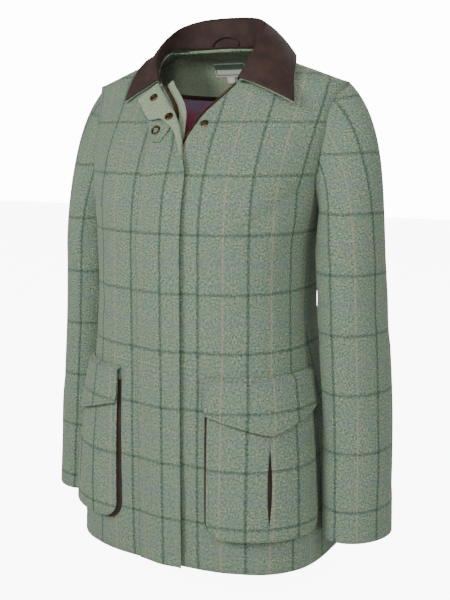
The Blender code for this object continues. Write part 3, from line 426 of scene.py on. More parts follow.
# %% Crease fields
# Columns: x0, y0, z0, x1, y1, z1, width, depth
BODY_CREASES = (
    (152, -92, -205, 146, -92, -450, 5, -2.2),
    (160, -82, -225, 154, -84, -430, 9, 1.6),
    (-152, -92, -205, -146, -92, -450, 5, -2.0),
    (-161, -82, -230, -154, -84, -425, 9, 1.5),
    (176, -40, -185, 120, -120, -252, 11, -2.6),
    (178, -20, -212, 132, -108, -290, 12, 2.0),
    (-177, -38, -188, -118, -122, -246, 12, -2.4),
    (-176, -16, -216, -128, -110, -300, 13, 1.8),
    (110, -70, -70, 128, -92, -170, 14, 1.4),
    (-104, -76, -80, -120, -96, -176, 15, 1.5),
    (66, -110, -130, 44, -138, -220, 15, -1.4),
    (158, -40, -330, 104, -132, -372, 15, -1.7),
    (-158, -36, -338, -98, -134, -368, 16, -1.6),
    (156, -34, -385, 90, -138, -402, 14, 1.3),
    (-156, -44, -392, -92, -137, -398, 15, 1.4),
    (60, -143, -480, 70, -144, -736, 26, 2.4),
    (-66, -143, -470, -60, -144, -736, 24, 2.2),
    (28, -143, -560, 24, -144, -736, 18, -1.8),
    (120, -128, -690, 128, -126, -740, 22, -2.4),
    (-124, -126, -680, -132, -124, -740, 20, -2.2),
    (176, -60, -640, 182, -62, -740, 22, 2.6),
    (-178, -58, -630, -184, -60, -740, 22, 2.4),
    (150, 62, -330, 60, 94, -378, 16, -2.2),
    (-150, 60, -336, -52, 95, -372, 15, -2.0),
    (152, 58, -392, 66, 98, -404, 15, 1.8),
    (-150, 60, -398, -70, 98, -402, 15, 1.7),
    (176, 50, -190, 96, 100, -250, 15, -2.2),
    (-176, 50, -188, -98, 100, -256, 15, -2.4),
    (60, 100, -120, 34, 106, -250, 26, 1.6),
    (-58, 100, -130, -36, 106, -260, 26, 1.5),
    (0, 98, -300, 0, 112, -440, 22, -2.4),
    (70, 118, -460, 88, 164, -740, 26, 3.0),
    (-74, 118, -470, -94, 163, -740, 26, 2.8),
    (20, 124, -480, 26, 168, -740, 22, -2.2),
    (-24, 124, -490, -34, 168, -740, 22, -2.0),
    (150, 92, -500, 168, 118, -740, 24, -2.4),
    (-150, 92, -510, -170, 116, -740, 24, -2.2),
)
SLEEVE_CREASES = (
    (196, -34, -165, 236, -40, -235, 10, -2.6),
    (190, -40, -205, 232, -46, -262, 11, 2.2),
    (172, -12, -208, 196, -44, -268, 9, -2.4),
    (176, -20, -260, 214, -42, -318, 12, -2.0),
    (176, 20, -330, 214, -36, -372, 13, -2.6),
    (178, 18, -362, 220, -38, -396, 12, 2.2),
    (184, 10, -400, 232, -40, -430, 12, -2.4),
    (190, -4, -436, 250, -36, -452, 12, 1.8),
    (266, -20, -300, 284, 20, -420, 15, -1.8),
    (270, 30, -360, 240, 72, -440, 15, -2.4),
    (262, 56, -410, 216, 76, -470, 14, 2.0),
    (200, -26, -560, 256, -44, -600, 14, -1.8),
    (270, -24, -520, 286, 10, -640, 16, 1.8),
    (204, -30, -640, 236, -46, -668, 12, -1.4),
    (230, 84, -130, 236, 88, -235, 14, -2.0),
    (212, 86, -170, 216, 80, -280, 12, 1.8),
    (246, 66, -560, 280, 40, -640, 14, -1.8),
)


def crease_height(points, creases, fade=None):
    """How far each point moves out: the sum of depth * exp(-(distance / width)^2) * fade.

    Along its stroke a crease fades as 1 - (2 t - 1)^4 with t from 0 to 1.
    """
    values = np.asarray(creases, float) * MM
    total = np.zeros(points.shape[:-1])
    for x0, y0, z0, x1, y1, z1, width, depth in values:
        start, stroke = np.array([x0, y0, z0]), np.array([x1 - x0, y1 - y0, z1 - z0])
        t = np.clip((points - start) @ stroke / (stroke @ stroke), 0, 1)
        distance = np.linalg.norm(points - start - t[..., None] * stroke, axis=-1)
        total += depth * np.exp(-(distance / width) ** 2) * (1 - (2 * t - 1) ** 4)
    return total


def creased(points, normals, share=1.0):
    """Points on or near the body, moved out by the creases they lie in."""
    return points + normals * (crease_height(points, BODY_CREASES) * share)[..., None]


print("creases:", len(BODY_CREASES), "on the body,", len(SLEEVE_CREASES), "on each sleeve")

# %% [markdown]
# ## Sheets of cloth
# A sheet is a grid of points with a thickness. Its edge is a soft half round. Its UV map is
# the cloth's cut, in metres, so that the weave and check keep their size and bend with it.

# %% Sheet builder
def border(rows, columns):
    """Indices of a grid's edge, once round."""
    index = np.arange(rows * columns).reshape(rows, columns)
    return np.concatenate([index[0, :-1], index[:-1, -1], index[-1, :0:-1], index[:0:-1, 0]])


def mesh_object(name, points, faces, material, uv=None, smooth=True):
    """An object at the origin from point and face arrays, with UVs looked up by vertex."""
    mesh = bpy.data.meshes.new(name)
    mesh.from_pydata(points.tolist(), [], faces)
    if uv is not None:
        layer = mesh.uv_layers.new(name="cut")
        corners = np.empty(len(mesh.loops), dtype=np.int32)
        mesh.loops.foreach_get("vertex_index", corners)
        layer.data.foreach_set("uv", uv[corners].astype(np.float32).ravel())
    mesh.polygons.foreach_set("use_smooth", np.full(len(mesh.polygons), smooth))
    mesh.materials.append(material)
    mesh.update()
    item = bpy.data.objects.new(name, mesh)
    bpy.context.scene.collection.objects.link(item)
    return item


def shell(name, grid, thickness, uv, material, flip=False, inside=None):
    """A sheet with a rounded edge: outer grid, inner grid, and three rings between their edges.

    A ring at share s lies at outer + s * (inner - outer) + bulge * sin(pi s) * outward.
    """
    rows, columns = grid.shape[:2]
    normals = mitred_normals(grid) * (-1 if flip else 1)
    inner = grid - normals * thickness
    count = rows * columns
    edge = border(rows, columns)
    away = np.zeros_like(grid)
    away[0] += unit(grid[0] - grid[1])
    away[-1] += unit(grid[-1] - grid[-2])
    away[:, 0] += unit(grid[:, 0] - grid[:, 1])
    away[:, -1] += unit(grid[:, -1] - grid[:, -2])
    outer_edge = grid.reshape(-1, 3)[edge]
    inner_edge = inner.reshape(-1, 3)[edge]
    outward = unit(away.reshape(-1, 3)[edge])
    shares = (0.2, 0.5, 0.8)
    rings = [
        outer_edge + (inner_edge - outer_edge) * s + outward * thickness * 0.3 * math.sin(math.pi * s)
        for s in shares
    ]
    points = np.concatenate([grid.reshape(-1, 3), inner.reshape(-1, 3)] + rings)
    index = np.arange(count).reshape(rows, columns)
    quads = np.stack([index[:-1, :-1], index[1:, :-1], index[1:, 1:], index[:-1, 1:]], axis=-1)
    quads = quads.reshape(-1, 4)
    quads = quads[:, ::-1] if flip else quads
    lines = [edge] + [2 * count + k * len(edge) + np.arange(len(edge)) for k in range(3)]
    lines.append(edge + count)
    sides = []
    for a, b in zip(lines, lines[1:]):
        side = np.stack([a, np.roll(a, -1), np.roll(b, -1), b], axis=-1)
        sides.append(side[:, ::-1] if flip else side)
    faces = np.concatenate([quads, quads[:, ::-1] + count] + sides)
    flat = uv.reshape(-1, 2)
    uvs = np.concatenate([flat, flat] + [flat[edge]] * 3)
    item = mesh_object(name, points, faces.tolist(), material, uvs)
    if inside:
        item.data.materials.append(inside)
        slots = np.zeros(len(faces), dtype=np.int32)
        slots[len(quads):2 * len(quads)] = 1
        item.data.polygons.foreach_set("material_index", slots)
    return item


def cut_size(grid):
    """(widest row, longest column, area) of a grid, in metres and square metres."""
    across = np.linalg.norm(np.diff(grid, axis=1), axis=2).sum(axis=1).max()
    down = np.linalg.norm(np.diff(grid, axis=0), axis=2).sum(axis=0).max()
    first = np.cross(grid[1:, :-1] - grid[:-1, :-1], grid[:-1, 1:] - grid[:-1, :-1])
    second = np.cross(grid[:-1, 1:] - grid[1:, 1:], grid[1:, :-1] - grid[1:, 1:])
    area = (np.linalg.norm(first, axis=2).sum() + np.linalg.norm(second, axis=2).sum()) / 2
    return float(across), float(down), float(area)


def sheet(name, grid, thickness, uv, material, node, flip=False):
    """Builds a sheet, prints the size of its cut and lets it stand for its CAD node."""
    item = shell(name, grid, thickness, uv, material, flip, INSIDES.get(material.name))
    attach(item, ROOT)
    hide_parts(node)
    width, length, area = cut_size(grid)
    area = min(area, width * length)
    print(f"{name}: cut {width * 1000:.0f} x {length * 1000:.0f} mm, {area * 1e4:.0f} square cm")
    return item


def part_of(name, points, faces, material, uv=None, smooth=True):
    """A small finished piece that rides with the coat."""
    item = mesh_object(name, points, faces, material, uv, smooth)
    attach(item, ROOT)
    return item


ROOT = "coat"

# %% [markdown]
# ## Materials
# The tweed is a 2/2 twill in heathered sage with a windowpane check: dark green lines every
# 70 mm across and 81.7 mm down, faint peach uprights and lavender levels half way between.

# %% Material helpers
def linear(code):
    """A linear colour from an sRGB hex code."""
    values = np.array([int(code[i:i + 2], 16) / 255 for i in (0, 2, 4)])
    low, high = values / 12.92, ((values + 0.055) / 1.055) ** 2.4
    return (*np.where(values <= 0.04045, low, high).tolist(), 1.0)


def add(tree, kind, inputs=(), out=0, **settings):
    """Adds a node, sets or links its inputs, and returns one of its outputs."""
    made = tree.nodes.new(kind)
    for key, value in settings.items():
        setattr(made, key, value)
    for key, value in dict(inputs).items():
        if isinstance(value, bpy.types.NodeSocket):
            tree.links.new(value, made.inputs[key])
        else:
            made.inputs[key].default_value = value
    return made.outputs[out]


def maths(tree, operation, *values, clamp=False):
    """A maths node."""
    return add(tree, "ShaderNodeMath", dict(enumerate(values)), operation=operation, use_clamp=clamp)


def mix(tree, share, first, second):
    """A colour between two, by a share."""
    inputs = {0: share, 6: first, 7: second}
    return add(tree, "ShaderNodeMix", inputs, out=2, data_type="RGBA")


def noise(tree, vector, feature_mm, detail=2.0, rough=0.5):
    """Noise whose features are a few millimetres across, on a vector in millimetres."""
    inputs = {"Vector": vector, "Scale": 1 / feature_mm, "Detail": detail, "Roughness": rough}
    return add(tree, "ShaderNodeTexNoise", inputs)


def stepped(tree, value, low, high, to_low=0.0, to_high=1.0):
    """A smooth step of a value from low to high."""
    inputs = {0: value, 1: low, 2: high, 3: to_low, 4: to_high}
    return add(tree, "ShaderNodeMapRange", inputs, interpolation_type="SMOOTHSTEP")


def new_surface(name, roughness):
    """A material with a Principled surface, its tree and the surface node."""
    material = bpy.data.materials.new(name)
    material.use_nodes = True
    surface = material.node_tree.nodes["Principled BSDF"]
    surface.inputs["Roughness"].default_value = roughness
    return material, material.node_tree, surface


def cut_millimetres(tree):
    """The cut's coordinates in millimetres, as a vector and as its two parts."""
    uv = add(tree, "ShaderNodeUVMap", out=0, uv_map="cut")
    vector = add(tree, "ShaderNodeVectorMath", {0: uv, 3: 1000.0}, operation="SCALE")
    split = tree.nodes.new("ShaderNodeSeparateXYZ")
    tree.links.new(vector, split.inputs[0])
    return vector, split.outputs[0], split.outputs[1]


def object_millimetres(tree):
    """Object coordinates in millimetres, for pieces with no cut."""
    place = add(tree, "ShaderNodeTexCoord", out="Object")
    return add(tree, "ShaderNodeVectorMath", {0: place, 3: 1000.0}, operation="SCALE")


def line_at(tree, value, period, centre, half, soft, wobble):
    """1 on lines of a half width every period of a value, 0 between them."""
    shifted = maths(tree, "ADD", value, period / 2 - centre)
    wrapped = maths(tree, "FLOORED_MODULO", shifted, period)
    distance = maths(tree, "ABSOLUTE", maths(tree, "SUBTRACT", wrapped, period / 2))
    distance = maths(tree, "ADD", distance, wobble)
    return stepped(tree, distance, half - soft, half + soft, 1.0, 0.0)


# %% Tweed
CHECK_ACROSS = 70.0
CHECK_DOWN = 81.7


def tweed_material(name, shade=1.0, back=False):
    """Heathered 2/2 twill with the windowpane check, matt with a little wool sheen.
    """
    material, tree, surface = new_surface(name, 0.95)
    vector, u, v = cut_millimetres(tree)
    twill = maths(tree, "PINGPONG", maths(tree, "ADD", u, v), 1.35)
    twill = maths(tree, "DIVIDE", twill, 1.35)
    fibre = noise(tree, vector, 2.4, 4.0, 0.85)
    fleck = noise(tree, vector, 4.5, 4.0, 0.8)
    cloud = noise(tree, vector, 22.0, 2.0, 0.5)
    base = mix(tree, stepped(tree, fleck, 0.42, 0.60), linear("5f7c6f"), linear("868f6c"))
    base = mix(tree, stepped(tree, fibre, 0.50, 0.66), base, linear("b6bda5"))
    base = mix(tree, stepped(tree, fibre, 0.50, 0.36), base, linear("334a42"))
    tint = stepped(tree, cloud, 0.35, 0.7, 0.0, 0.30)
    base = mix(tree, tint, base, linear("5d7d76"))
    rough_edge = maths(tree, "MULTIPLY", maths(tree, "SUBTRACT", twill, 0.5), 1.3)
    ragged = maths(tree, "MULTIPLY", maths(tree, "SUBTRACT", fleck, 0.5), 4.0)
    wobble = maths(tree, "ADD", rough_edge, ragged)
    strength = 0.45 if back else 1.0
    dark_up = line_at(tree, u, CHECK_ACROSS, 0.0, 2.1, 1.0, wobble)
    dark_level = line_at(tree, v, CHECK_DOWN, 0.0, 2.2, 1.3, wobble)
    peach = line_at(tree, u, CHECK_ACROSS, CHECK_ACROSS / 2, 0.8, 0.8, wobble)
    lavender = line_at(tree, v, CHECK_DOWN, CHECK_DOWN / 2, 3.4, 2.4, wobble)
    broken = stepped(tree, fibre, 0.30, 0.60, 1.0, 0.55)
    for line, colour, amount in (
        (lavender, "75688a", 0.26),
        (peach, "d0a28c", 0.46),
        (dark_level, "1f4038", 0.72),
        (dark_up, "193a31", 0.85),
    ):
        share = maths(tree, "MULTIPLY", maths(tree, "MULTIPLY", line, broken), amount * strength)
        base = mix(tree, share, base, linear(colour))
    shadow = stepped(tree, twill, 0.0, 1.0, 0.80, 1.10)
    tone = maths(tree, "MULTIPLY", shadow, shade)
    base = add(tree, "ShaderNodeVectorMath", {0: base, 3: tone}, operation="SCALE")
    if back:
        base = mix(tree, 0.35, base, linear("aab694"))
    tree.links.new(base, surface.inputs["Base Color"])
    surface.inputs["Sheen Weight"].default_value = 0.12
    surface.inputs["Sheen Roughness"].default_value = 0.5
    surface.inputs["Sheen Tint"].default_value = linear("d5dcc6")
    height = maths(tree, "ADD", maths(tree, "MULTIPLY", twill, 0.5), maths(tree, "MULTIPLY", fibre, 0.9))
    bump = add(tree, "ShaderNodeBump", {"Height": height, "Distance": 0.0005, "Strength": 0.55})
    tree.links.new(bump, surface.inputs["Normal"])
    return material


TWEED_CLOTH = tweed_material("sage windowpane tweed")
TWEED_INSIDE = tweed_material("tweed, wrong side", 1.08, back=True)
INSIDES = {TWEED_CLOTH.name: TWEED_INSIDE}

# %% Moleskin, satin, tape, label, thread and brass
def brushed_material(name, deep, pale, sheen, feature=6.0, roughness=0.8):
    """A brushed cotton: soft clouds where the nap lies differently, and a fine bump."""
    material, tree, surface = new_surface(name, roughness)
    vector = object_millimetres(tree)
    cloud = noise(tree, vector, feature * 3, 3.0, 0.55)
    nap = noise(tree, vector, 0.9, 2.0, 0.6)
    base = mix(tree, stepped(tree, cloud, 0.3, 0.75), linear(deep), linear(pale))
    base = mix(tree, stepped(tree, nap, 0.35, 0.7, 0.0, 0.3), base, linear(pale))
    tree.links.new(base, surface.inputs["Base Color"])
    surface.inputs["Sheen Weight"].default_value = sheen
    surface.inputs["Sheen Roughness"].default_value = 0.45
    surface.inputs["Sheen Tint"].default_value = linear("a58478")
    bump = add(tree, "ShaderNodeBump", {"Height": nap, "Distance": 0.0003, "Strength": 0.5})
    tree.links.new(bump, surface.inputs["Normal"])
    return material


def satin_material(name):
    """A shot lining: crimson and violet threads show by turns across soft folds."""
    material, tree, surface = new_surface(name, 0.42)
    vector, u, v = cut_millimetres(tree)
    cloud = noise(tree, vector, 26.0, 2.0, 0.5)
    height = stepped(tree, v, 10.0, 45.0)
    patches = stepped(tree, cloud, 0.3, 0.7, 0.4, 1.0)
    share = maths(tree, "MULTIPLY", maths(tree, "SUBTRACT", 1.25, height), patches)
    base = mix(tree, share, linear("b04865"), linear("8a7590"))
    tree.links.new(base, surface.inputs["Base Color"])
    surface.inputs["Anisotropic"].default_value = 0.5
    thread = maths(tree, "SINE", maths(tree, "MULTIPLY", v, 12.0))
    bump = add(tree, "ShaderNodeBump", {"Height": thread, "Distance": 0.00005, "Strength": 0.3})
    tree.links.new(bump, surface.inputs["Normal"])
    return material


def woven_material(name, colour, pale, rib_mm):
    """A narrow woven tape or label with a fine rib."""
    material, tree, surface = new_surface(name, 0.8)
    vector, u, v = cut_millimetres(tree)
    rib = maths(tree, "SINE", maths(tree, "MULTIPLY", v, 2 * math.pi / rib_mm))
    share = stepped(tree, rib, -1.0, 1.0)
    tree.links.new(mix(tree, share, linear(colour), linear(pale)), surface.inputs["Base Color"])
    bump = add(tree, "ShaderNodeBump", {"Height": rib, "Distance": 0.0002, "Strength": 0.4})
    tree.links.new(bump, surface.inputs["Normal"])
    return material


def label_material(name):
    """A bare woven label: a green frame 1.2 mm in from its edge and a green upper half."""
    material, tree, surface = new_surface(name, 0.8)
    vector, u, v = cut_millimetres(tree)
    side = maths(tree, "ABSOLUTE", maths(tree, "SUBTRACT", u, LABEL_WIDTH / MM / 2))
    frame_side = stepped(tree, side, LABEL_WIDTH / MM / 2 - 3.0, LABEL_WIDTH / MM / 2 - 2.6)
    middle = (LABEL_TOP - LABEL_BOTTOM) / MM / 2
    level = maths(tree, "ABSOLUTE", maths(tree, "SUBTRACT", v, middle))
    frame_level = stepped(tree, level, middle - 3.0, middle - 2.6)
    frame_line = maths(tree, "MAXIMUM", frame_side, frame_level)
    edge = maths(tree, "MAXIMUM", stepped(tree, side, LABEL_WIDTH / MM / 2 - 1.4, LABEL_WIDTH / MM / 2 - 1.0),
                 stepped(tree, level, middle - 1.4, middle - 1.0))
    above_middle = stepped(tree, v, middle - 0.4, middle, 1.0, 0.0)
    upper = maths(tree, "MULTIPLY", above_middle, stepped(tree, v, 1.2, 1.6))
    green = maths(tree, "MAXIMUM", maths(tree, "SUBTRACT", frame_line, edge, clamp=True), upper)
    rib = maths(tree, "SINE", maths(tree, "MULTIPLY", v, 4 * math.pi))
    cloth = mix(tree, stepped(tree, rib, -1.0, 1.0), linear("c4c8b8"), linear("d6d8ca"))
    tree.links.new(mix(tree, green, cloth, linear("4f6857")), surface.inputs["Base Color"])
    bump = add(tree, "ShaderNodeBump", {"Height": rib, "Distance": 0.0002, "Strength": 0.4})
    tree.links.new(bump, surface.inputs["Normal"])
    return material


def plain_material(name, colour, roughness, metallic=0.0, worn=None):
    """A plain surface, with a second colour in its worn patches if it has one."""
    material, tree, surface = new_surface(name, roughness)
    surface.inputs["Metallic"].default_value = metallic
    if worn:
        patch = noise(tree, object_millimetres(tree), 2.2, 3.0, 0.6)
        base = mix(tree, stepped(tree, patch, 0.4, 0.6), linear(colour), linear(worn))
        tree.links.new(base, surface.inputs["Base Color"])
    else:
        surface.inputs["Base Color"].default_value = linear(colour)
    return material


MOLESKIN_CLOTH = brushed_material("brown moleskin", "241410", "3a241c", 0.12)
SATIN_CLOTH = satin_material("shot satin lining")
TAPE_CLOTH = woven_material("zip tape", "3a2822", "553e33", 0.8)
LABEL_CLOTH = label_material("woven label")
TAG_CLOTH = woven_material("woven size tag", "d8d5c6", "ebe8dc", 0.5)
THREAD_GREEN = plain_material("sage sewing thread", "5c6b5b", 0.8)
THREAD_PALE = plain_material("pale sewing thread", "94a08c", 0.8)
THREAD_BROWN = plain_material("brown sewing thread", "2a1c19", 0.75)
BRASS = plain_material("antique brass", "74603f", 0.38, 1.0, worn="453626")
BRASS_BRIGHT = plain_material("brass zip teeth", "7f6a4a", 0.42, 1.0, worn="57452e")
print("materials:", len(bpy.data.materials))

# %% [markdown]
# ## The fronts and the back
# The same panel rows as the solids, on a finer grid. The check's level lines are measured
# down the cloth, so they close up where the chest slopes away.

# %% Fronts and back
def finer(values, times):
    """Evenly more values between each pair of a list."""
    positions = np.linspace(0, len(values) - 1, (len(values) - 1) * times + 1)
    return np.interp(positions, np.arange(len(values)), values)


FINER = 5
PANEL_ROWS = np.round(finer(np.concatenate([np.linspace(0, 7, 15), np.linspace(7.5, 12, 10)]), FINER), 6)
PANEL_COLUMNS = np.linspace(0, 1, 49)

LEVELS = np.linspace(0.01, -0.78, 400)


def length_down(z, back=False):
    """Length of cloth from the top down the coat's middle to a height."""
    line = body_point(np.zeros_like(LEVELS), LEVELS, back)
    run = np.concatenate([[0], np.cumsum(np.linalg.norm(np.diff(line, axis=0), axis=1))])
    return np.interp(-np.asarray(z), -LEVELS, run)


CHECK_LEVEL_Z = -0.337
CHECK_LEVEL = {back: float(length_down(CHECK_LEVEL_Z, back)) for back in (False, True)}


def arc_round(points, back=False):
    """Length round the coat from the centre line to each point, along its own level."""
    z = points[..., 2]
    turns = np.linspace(0, math.pi / 2, 61)
    levels = np.linspace(z.min() - 1e-6, z.max() + 1e-6, 90)
    line = body_point(turns[None, :], levels[:, None], back)
    steps = np.linalg.norm(np.diff(line, axis=1), axis=2)
    length = np.concatenate([np.zeros((90, 1)), np.cumsum(steps, axis=1)], axis=1)
    row = by_height(SECTIONS, z)
    half_y = (row[..., 4] if back else row[..., 3]) - row[..., 2]
    x = np.abs(points[..., 0]) / (row[..., 1] * MM)
    y = (points[..., 1] - row[..., 2] * MM) / (half_y * MM)
    turn = np.arctan2(x, np.maximum(y, 0))
    place = (z - levels[0]) / (levels[1] - levels[0])
    low = np.clip(place.astype(int), 0, 88)
    share = place - low
    at = turn / (math.pi / 2) * 60
    left = np.clip(at.astype(int), 0, 59)
    part = at - left
    corner = [
        length[low + i, left + j] * (share if i else 1 - share) * (part if j else 1 - part)
        for i in (0, 1) for j in (0, 1)
    ]
    return np.sign(points[..., 0]) * sum(corner)


def body_uv(points, line_at_arc, back=False):
    """The cut's coordinates: round the coat from a check line, and down it from another."""
    u = arc_round(points, back) - line_at_arc
    v = length_down(points[..., 2], back) - CHECK_LEVEL[back]
    return np.stack([u, v], axis=-1)


LEFT_LINE = 0.059
RIGHT_LINE = -0.049
BACK_LINE = 0.035

left_grid = panel_grid(FRONT_ROWS)
right_grid = panel_grid(FRONT_ROWS, right=True)
back_grid = panel_grid(BACK_ROWS, back=True)
right_grid = mirrored(right_grid)[:, ::-1]
whole_back = np.concatenate([mirrored(back_grid)[:, :0:-1], back_grid], axis=1)


def field_normals(grid, back):
    """Normals of the body surface near a grid, for creases that cross seams evenly."""
    row = by_height(SECTIONS, grid[..., 2])
    x = np.abs(grid[..., 0]) / (row[..., 1] * MM)
    half_y = (row[..., 4] if back else row[..., 3]) - row[..., 2]
    y = (grid[..., 1] - row[..., 2] * MM) / (half_y * MM)
    turn = np.arctan2(x, np.maximum(y, 0))
    normal = body_normal(turn, grid[..., 2], back)
    return normal * np.stack([np.where(grid[..., 0] < 0, -1, 1)] + [np.ones_like(x)] * 2, axis=-1)


def dressed(grid, back=False):
    """A grid with the body's creases."""
    return creased(grid, field_normals(grid, back))


sheet("cloth_front_left", dressed(left_grid), TWEED, body_uv(left_grid, LEFT_LINE), TWEED_CLOTH,
      "front_left")
sheet("cloth_front_right", dressed(right_grid), TWEED, body_uv(right_grid, RIGHT_LINE), TWEED_CLOTH,
      "front_right")
sheet("cloth_back", dressed(whole_back, True), TWEED, body_uv(whole_back, BACK_LINE, True), TWEED_CLOTH,
      "back", flip=True)

# %% [markdown]
# ## The sleeves
# Two-piece sleeves: rings swing from the armhole into turned ellipses. Creases gather inside
# the elbow and under the arm.

# %% Sleeves
def sleeve_grid(loop, cap_steps, arm_steps):
    """Rings of the left sleeve: the armhole swings out and down into the first arm ring.

    Each point of the armhole follows a cubic curve that leaves the shoulder outwards, steeper
    under the arm, and arrives straight down. Below, the rings are turned ellipses.
    """
    lengths = np.linalg.norm(np.diff(loop, axis=0), axis=1)
    round_arm = np.concatenate([[0], np.cumsum(lengths)]) / lengths.sum()
    turn_round = 2 * math.pi * round_arm
    heights = np.linspace(SLEEVE[0][0], SLEEVE[-1][0], arm_steps)
    rings = by_height(SLEEVE, heights * MM)

    def ring(row):
        z, x, y, long_half, short_half, turn = row
        turn = math.radians(turn)
        short_way = np.cos(turn_round) * short_half
        long_way = -np.sin(turn_round) * long_half
        across = short_way * math.cos(turn) + long_way * math.sin(turn)
        fore = -short_way * math.sin(turn) + long_way * math.cos(turn)
        return np.stack([x + across, y + fore, np.full_like(across, z)], axis=1) * MM

    arm = np.stack([ring(row) for row in rings])
    first = arm[0]
    under = (1 - np.cos(turn_round)) / 2
    tilt = np.radians(CAP_TILT_TOP + (CAP_TILT_UNDER - CAP_TILT_TOP) * under)
    span = np.linalg.norm(first - loop, axis=1)
    leave = np.stack([np.cos(tilt), np.zeros_like(tilt), -np.sin(tilt)], axis=1) * span[:, None]
    arrive = np.array([[0.06, 0, -1.0]]) * span[:, None] * 0.9
    steps = np.linspace(0, 1, cap_steps + 1)[:-1, None, None]
    cap = (
        (2 * steps**3 - 3 * steps**2 + 1) * loop
        + (steps**3 - 2 * steps**2 + steps) * leave
        + (3 * steps**2 - 2 * steps**3) * first
        + (steps**3 - steps**2) * arrive
    )
    return np.concatenate([cap, arm])


last = int(np.argmin(np.abs(PANEL_ROWS - UNDERARM_ROW)))
front_side = left_grid[:last + 1, -1]
back_side = back_grid[last - 1::-1, -1]
loop = np.concatenate([front_side, back_side])
sleeve = sleeve_grid(loop, cap_steps=26, arm_steps=70)
away_from_body = np.clip(np.arange(len(sleeve)) / 8, 0, 1)[:, None]
wrapped = np.concatenate([sleeve[:, -2:-1], sleeve, sleeve[:, 1:2]], axis=1)
ring_normals = -mitred_normals(wrapped)[:, 1:-1]
sleeve_height = crease_height(sleeve, SLEEVE_CREASES) * away_from_body
sleeve = sleeve + unit(ring_normals) * sleeve_height[..., None]
sleeve = sleeve + np.array([ARMHOLE_GAP, 0, 0])
count = sleeve.shape[1]
solid_count = (count - 1) // FINER + 1
front_seam = int(round(UNDER_SLEEVE_FRONT * solid_count)) * FINER
back_seam = int(round(UNDER_SLEEVE_BACK * solid_count)) * FINER
arm_ring = 26
round_ring = np.linalg.norm(np.diff(sleeve[arm_ring + 20], axis=0), axis=1)
round_ring = np.concatenate([[0], np.cumsum(round_ring)])
down_arm = np.linalg.norm(np.diff(sleeve, axis=0), axis=2)
down_arm = np.concatenate([np.zeros((1, count)), np.cumsum(down_arm, axis=0)], axis=0)
down_arm = down_arm - down_arm[arm_ring]
# How far round the sleeve the check's upright lies, by height: the check leans with the arm
SLEEVE_LINE_HEIGHTS = (-0.70, -0.60, -0.40, -0.23, -0.15, -0.05)
SLEEVE_LINES = (0.004, 0.007, 0.016, 0.026, 0.034, 0.038)
SLEEVE_LEVEL = 0.107
SLEEVE_EASE = 0.967
RIGHT_SLEEVE_DROP = 0.022
line_round = np.interp(sleeve[..., 2], SLEEVE_LINE_HEIGHTS, SLEEVE_LINES)
sleeve_uv = np.stack([round_ring - line_round, (down_arm - SLEEVE_LEVEL) * SLEEVE_EASE], axis=-1)
whole_round = np.array([round_ring[-1], 0])
top_grid = np.concatenate([sleeve[:, back_seam:-1], sleeve[:, :front_seam + 1]], axis=1)
top_uv = np.concatenate([sleeve_uv[:, back_seam:-1] - whole_round, sleeve_uv[:, :front_seam + 1]], axis=1)
under_grid = sleeve[:, front_seam:back_seam + 1]
under_uv = sleeve_uv[:, front_seam:back_seam + 1]
for side in ("left", "right"):
    for label, grid, uv in (("top", top_grid, top_uv), ("under", under_grid, under_uv)):
        right = side == "right"
        placed = mirrored(grid) if right else grid
        node = f"sleeve_{label}_{side}"
        cut = uv - np.array([0, RIGHT_SLEEVE_DROP * right])
        sheet("cloth_" + node, placed, TWEED, cut, TWEED_CLOTH, node, flip=not right)

# %% [markdown]
# ## The collar
# The stand rises from the neck seam, rolls over and falls on the shoulders. The moleskin upper
# collar lies on a tweed under collar whose edge shows as a thin green line.

# %% Collar
def collar_line(stations, right):
    """Neck seam, roll and edge points of half the collar at even stations from the back."""
    values = np.asarray(COLLAR, float)
    rows = spline(np.arange(len(values)), values, stations)
    base, roll, edge = rows[:, 0:3].copy(), rows[:, 3:6].copy(), rows[:, 6:9].copy()
    if right:
        base[:, 0] -= rows[:, 9]
        roll[:, 0] -= rows[:, 10]
        edge[:, 0] -= rows[:, 11]
    return base * MM, roll * MM, edge * MM


def clear_of_body(points, need):
    """Points moved straight out from the body surface until they clear it by a distance."""
    turns = np.linspace(0, math.pi / 2, 40)[None, :]
    heights = np.linspace(2 * MM, -190 * MM, 97)[:, None]
    places, normals = [], []
    for back in (False, True):
        place = body_point(turns, heights, back).reshape(-1, 3)
        normal = body_normal(turns, heights, back).reshape(-1, 3)
        places += [place, mirrored(place)]
        normals += [normal, mirrored(normal)]
    place, normal = np.concatenate(places), np.concatenate(normals)
    flat = points.reshape(-1, 3).copy()
    for i, point in enumerate(flat):
        nearest = np.argmin(((place - point)**2).sum(axis=1))
        height = (point - place[nearest]) @ normal[nearest]
        flat[i] += normal[nearest] * max(0, need - height)
    return flat.reshape(points.shape)


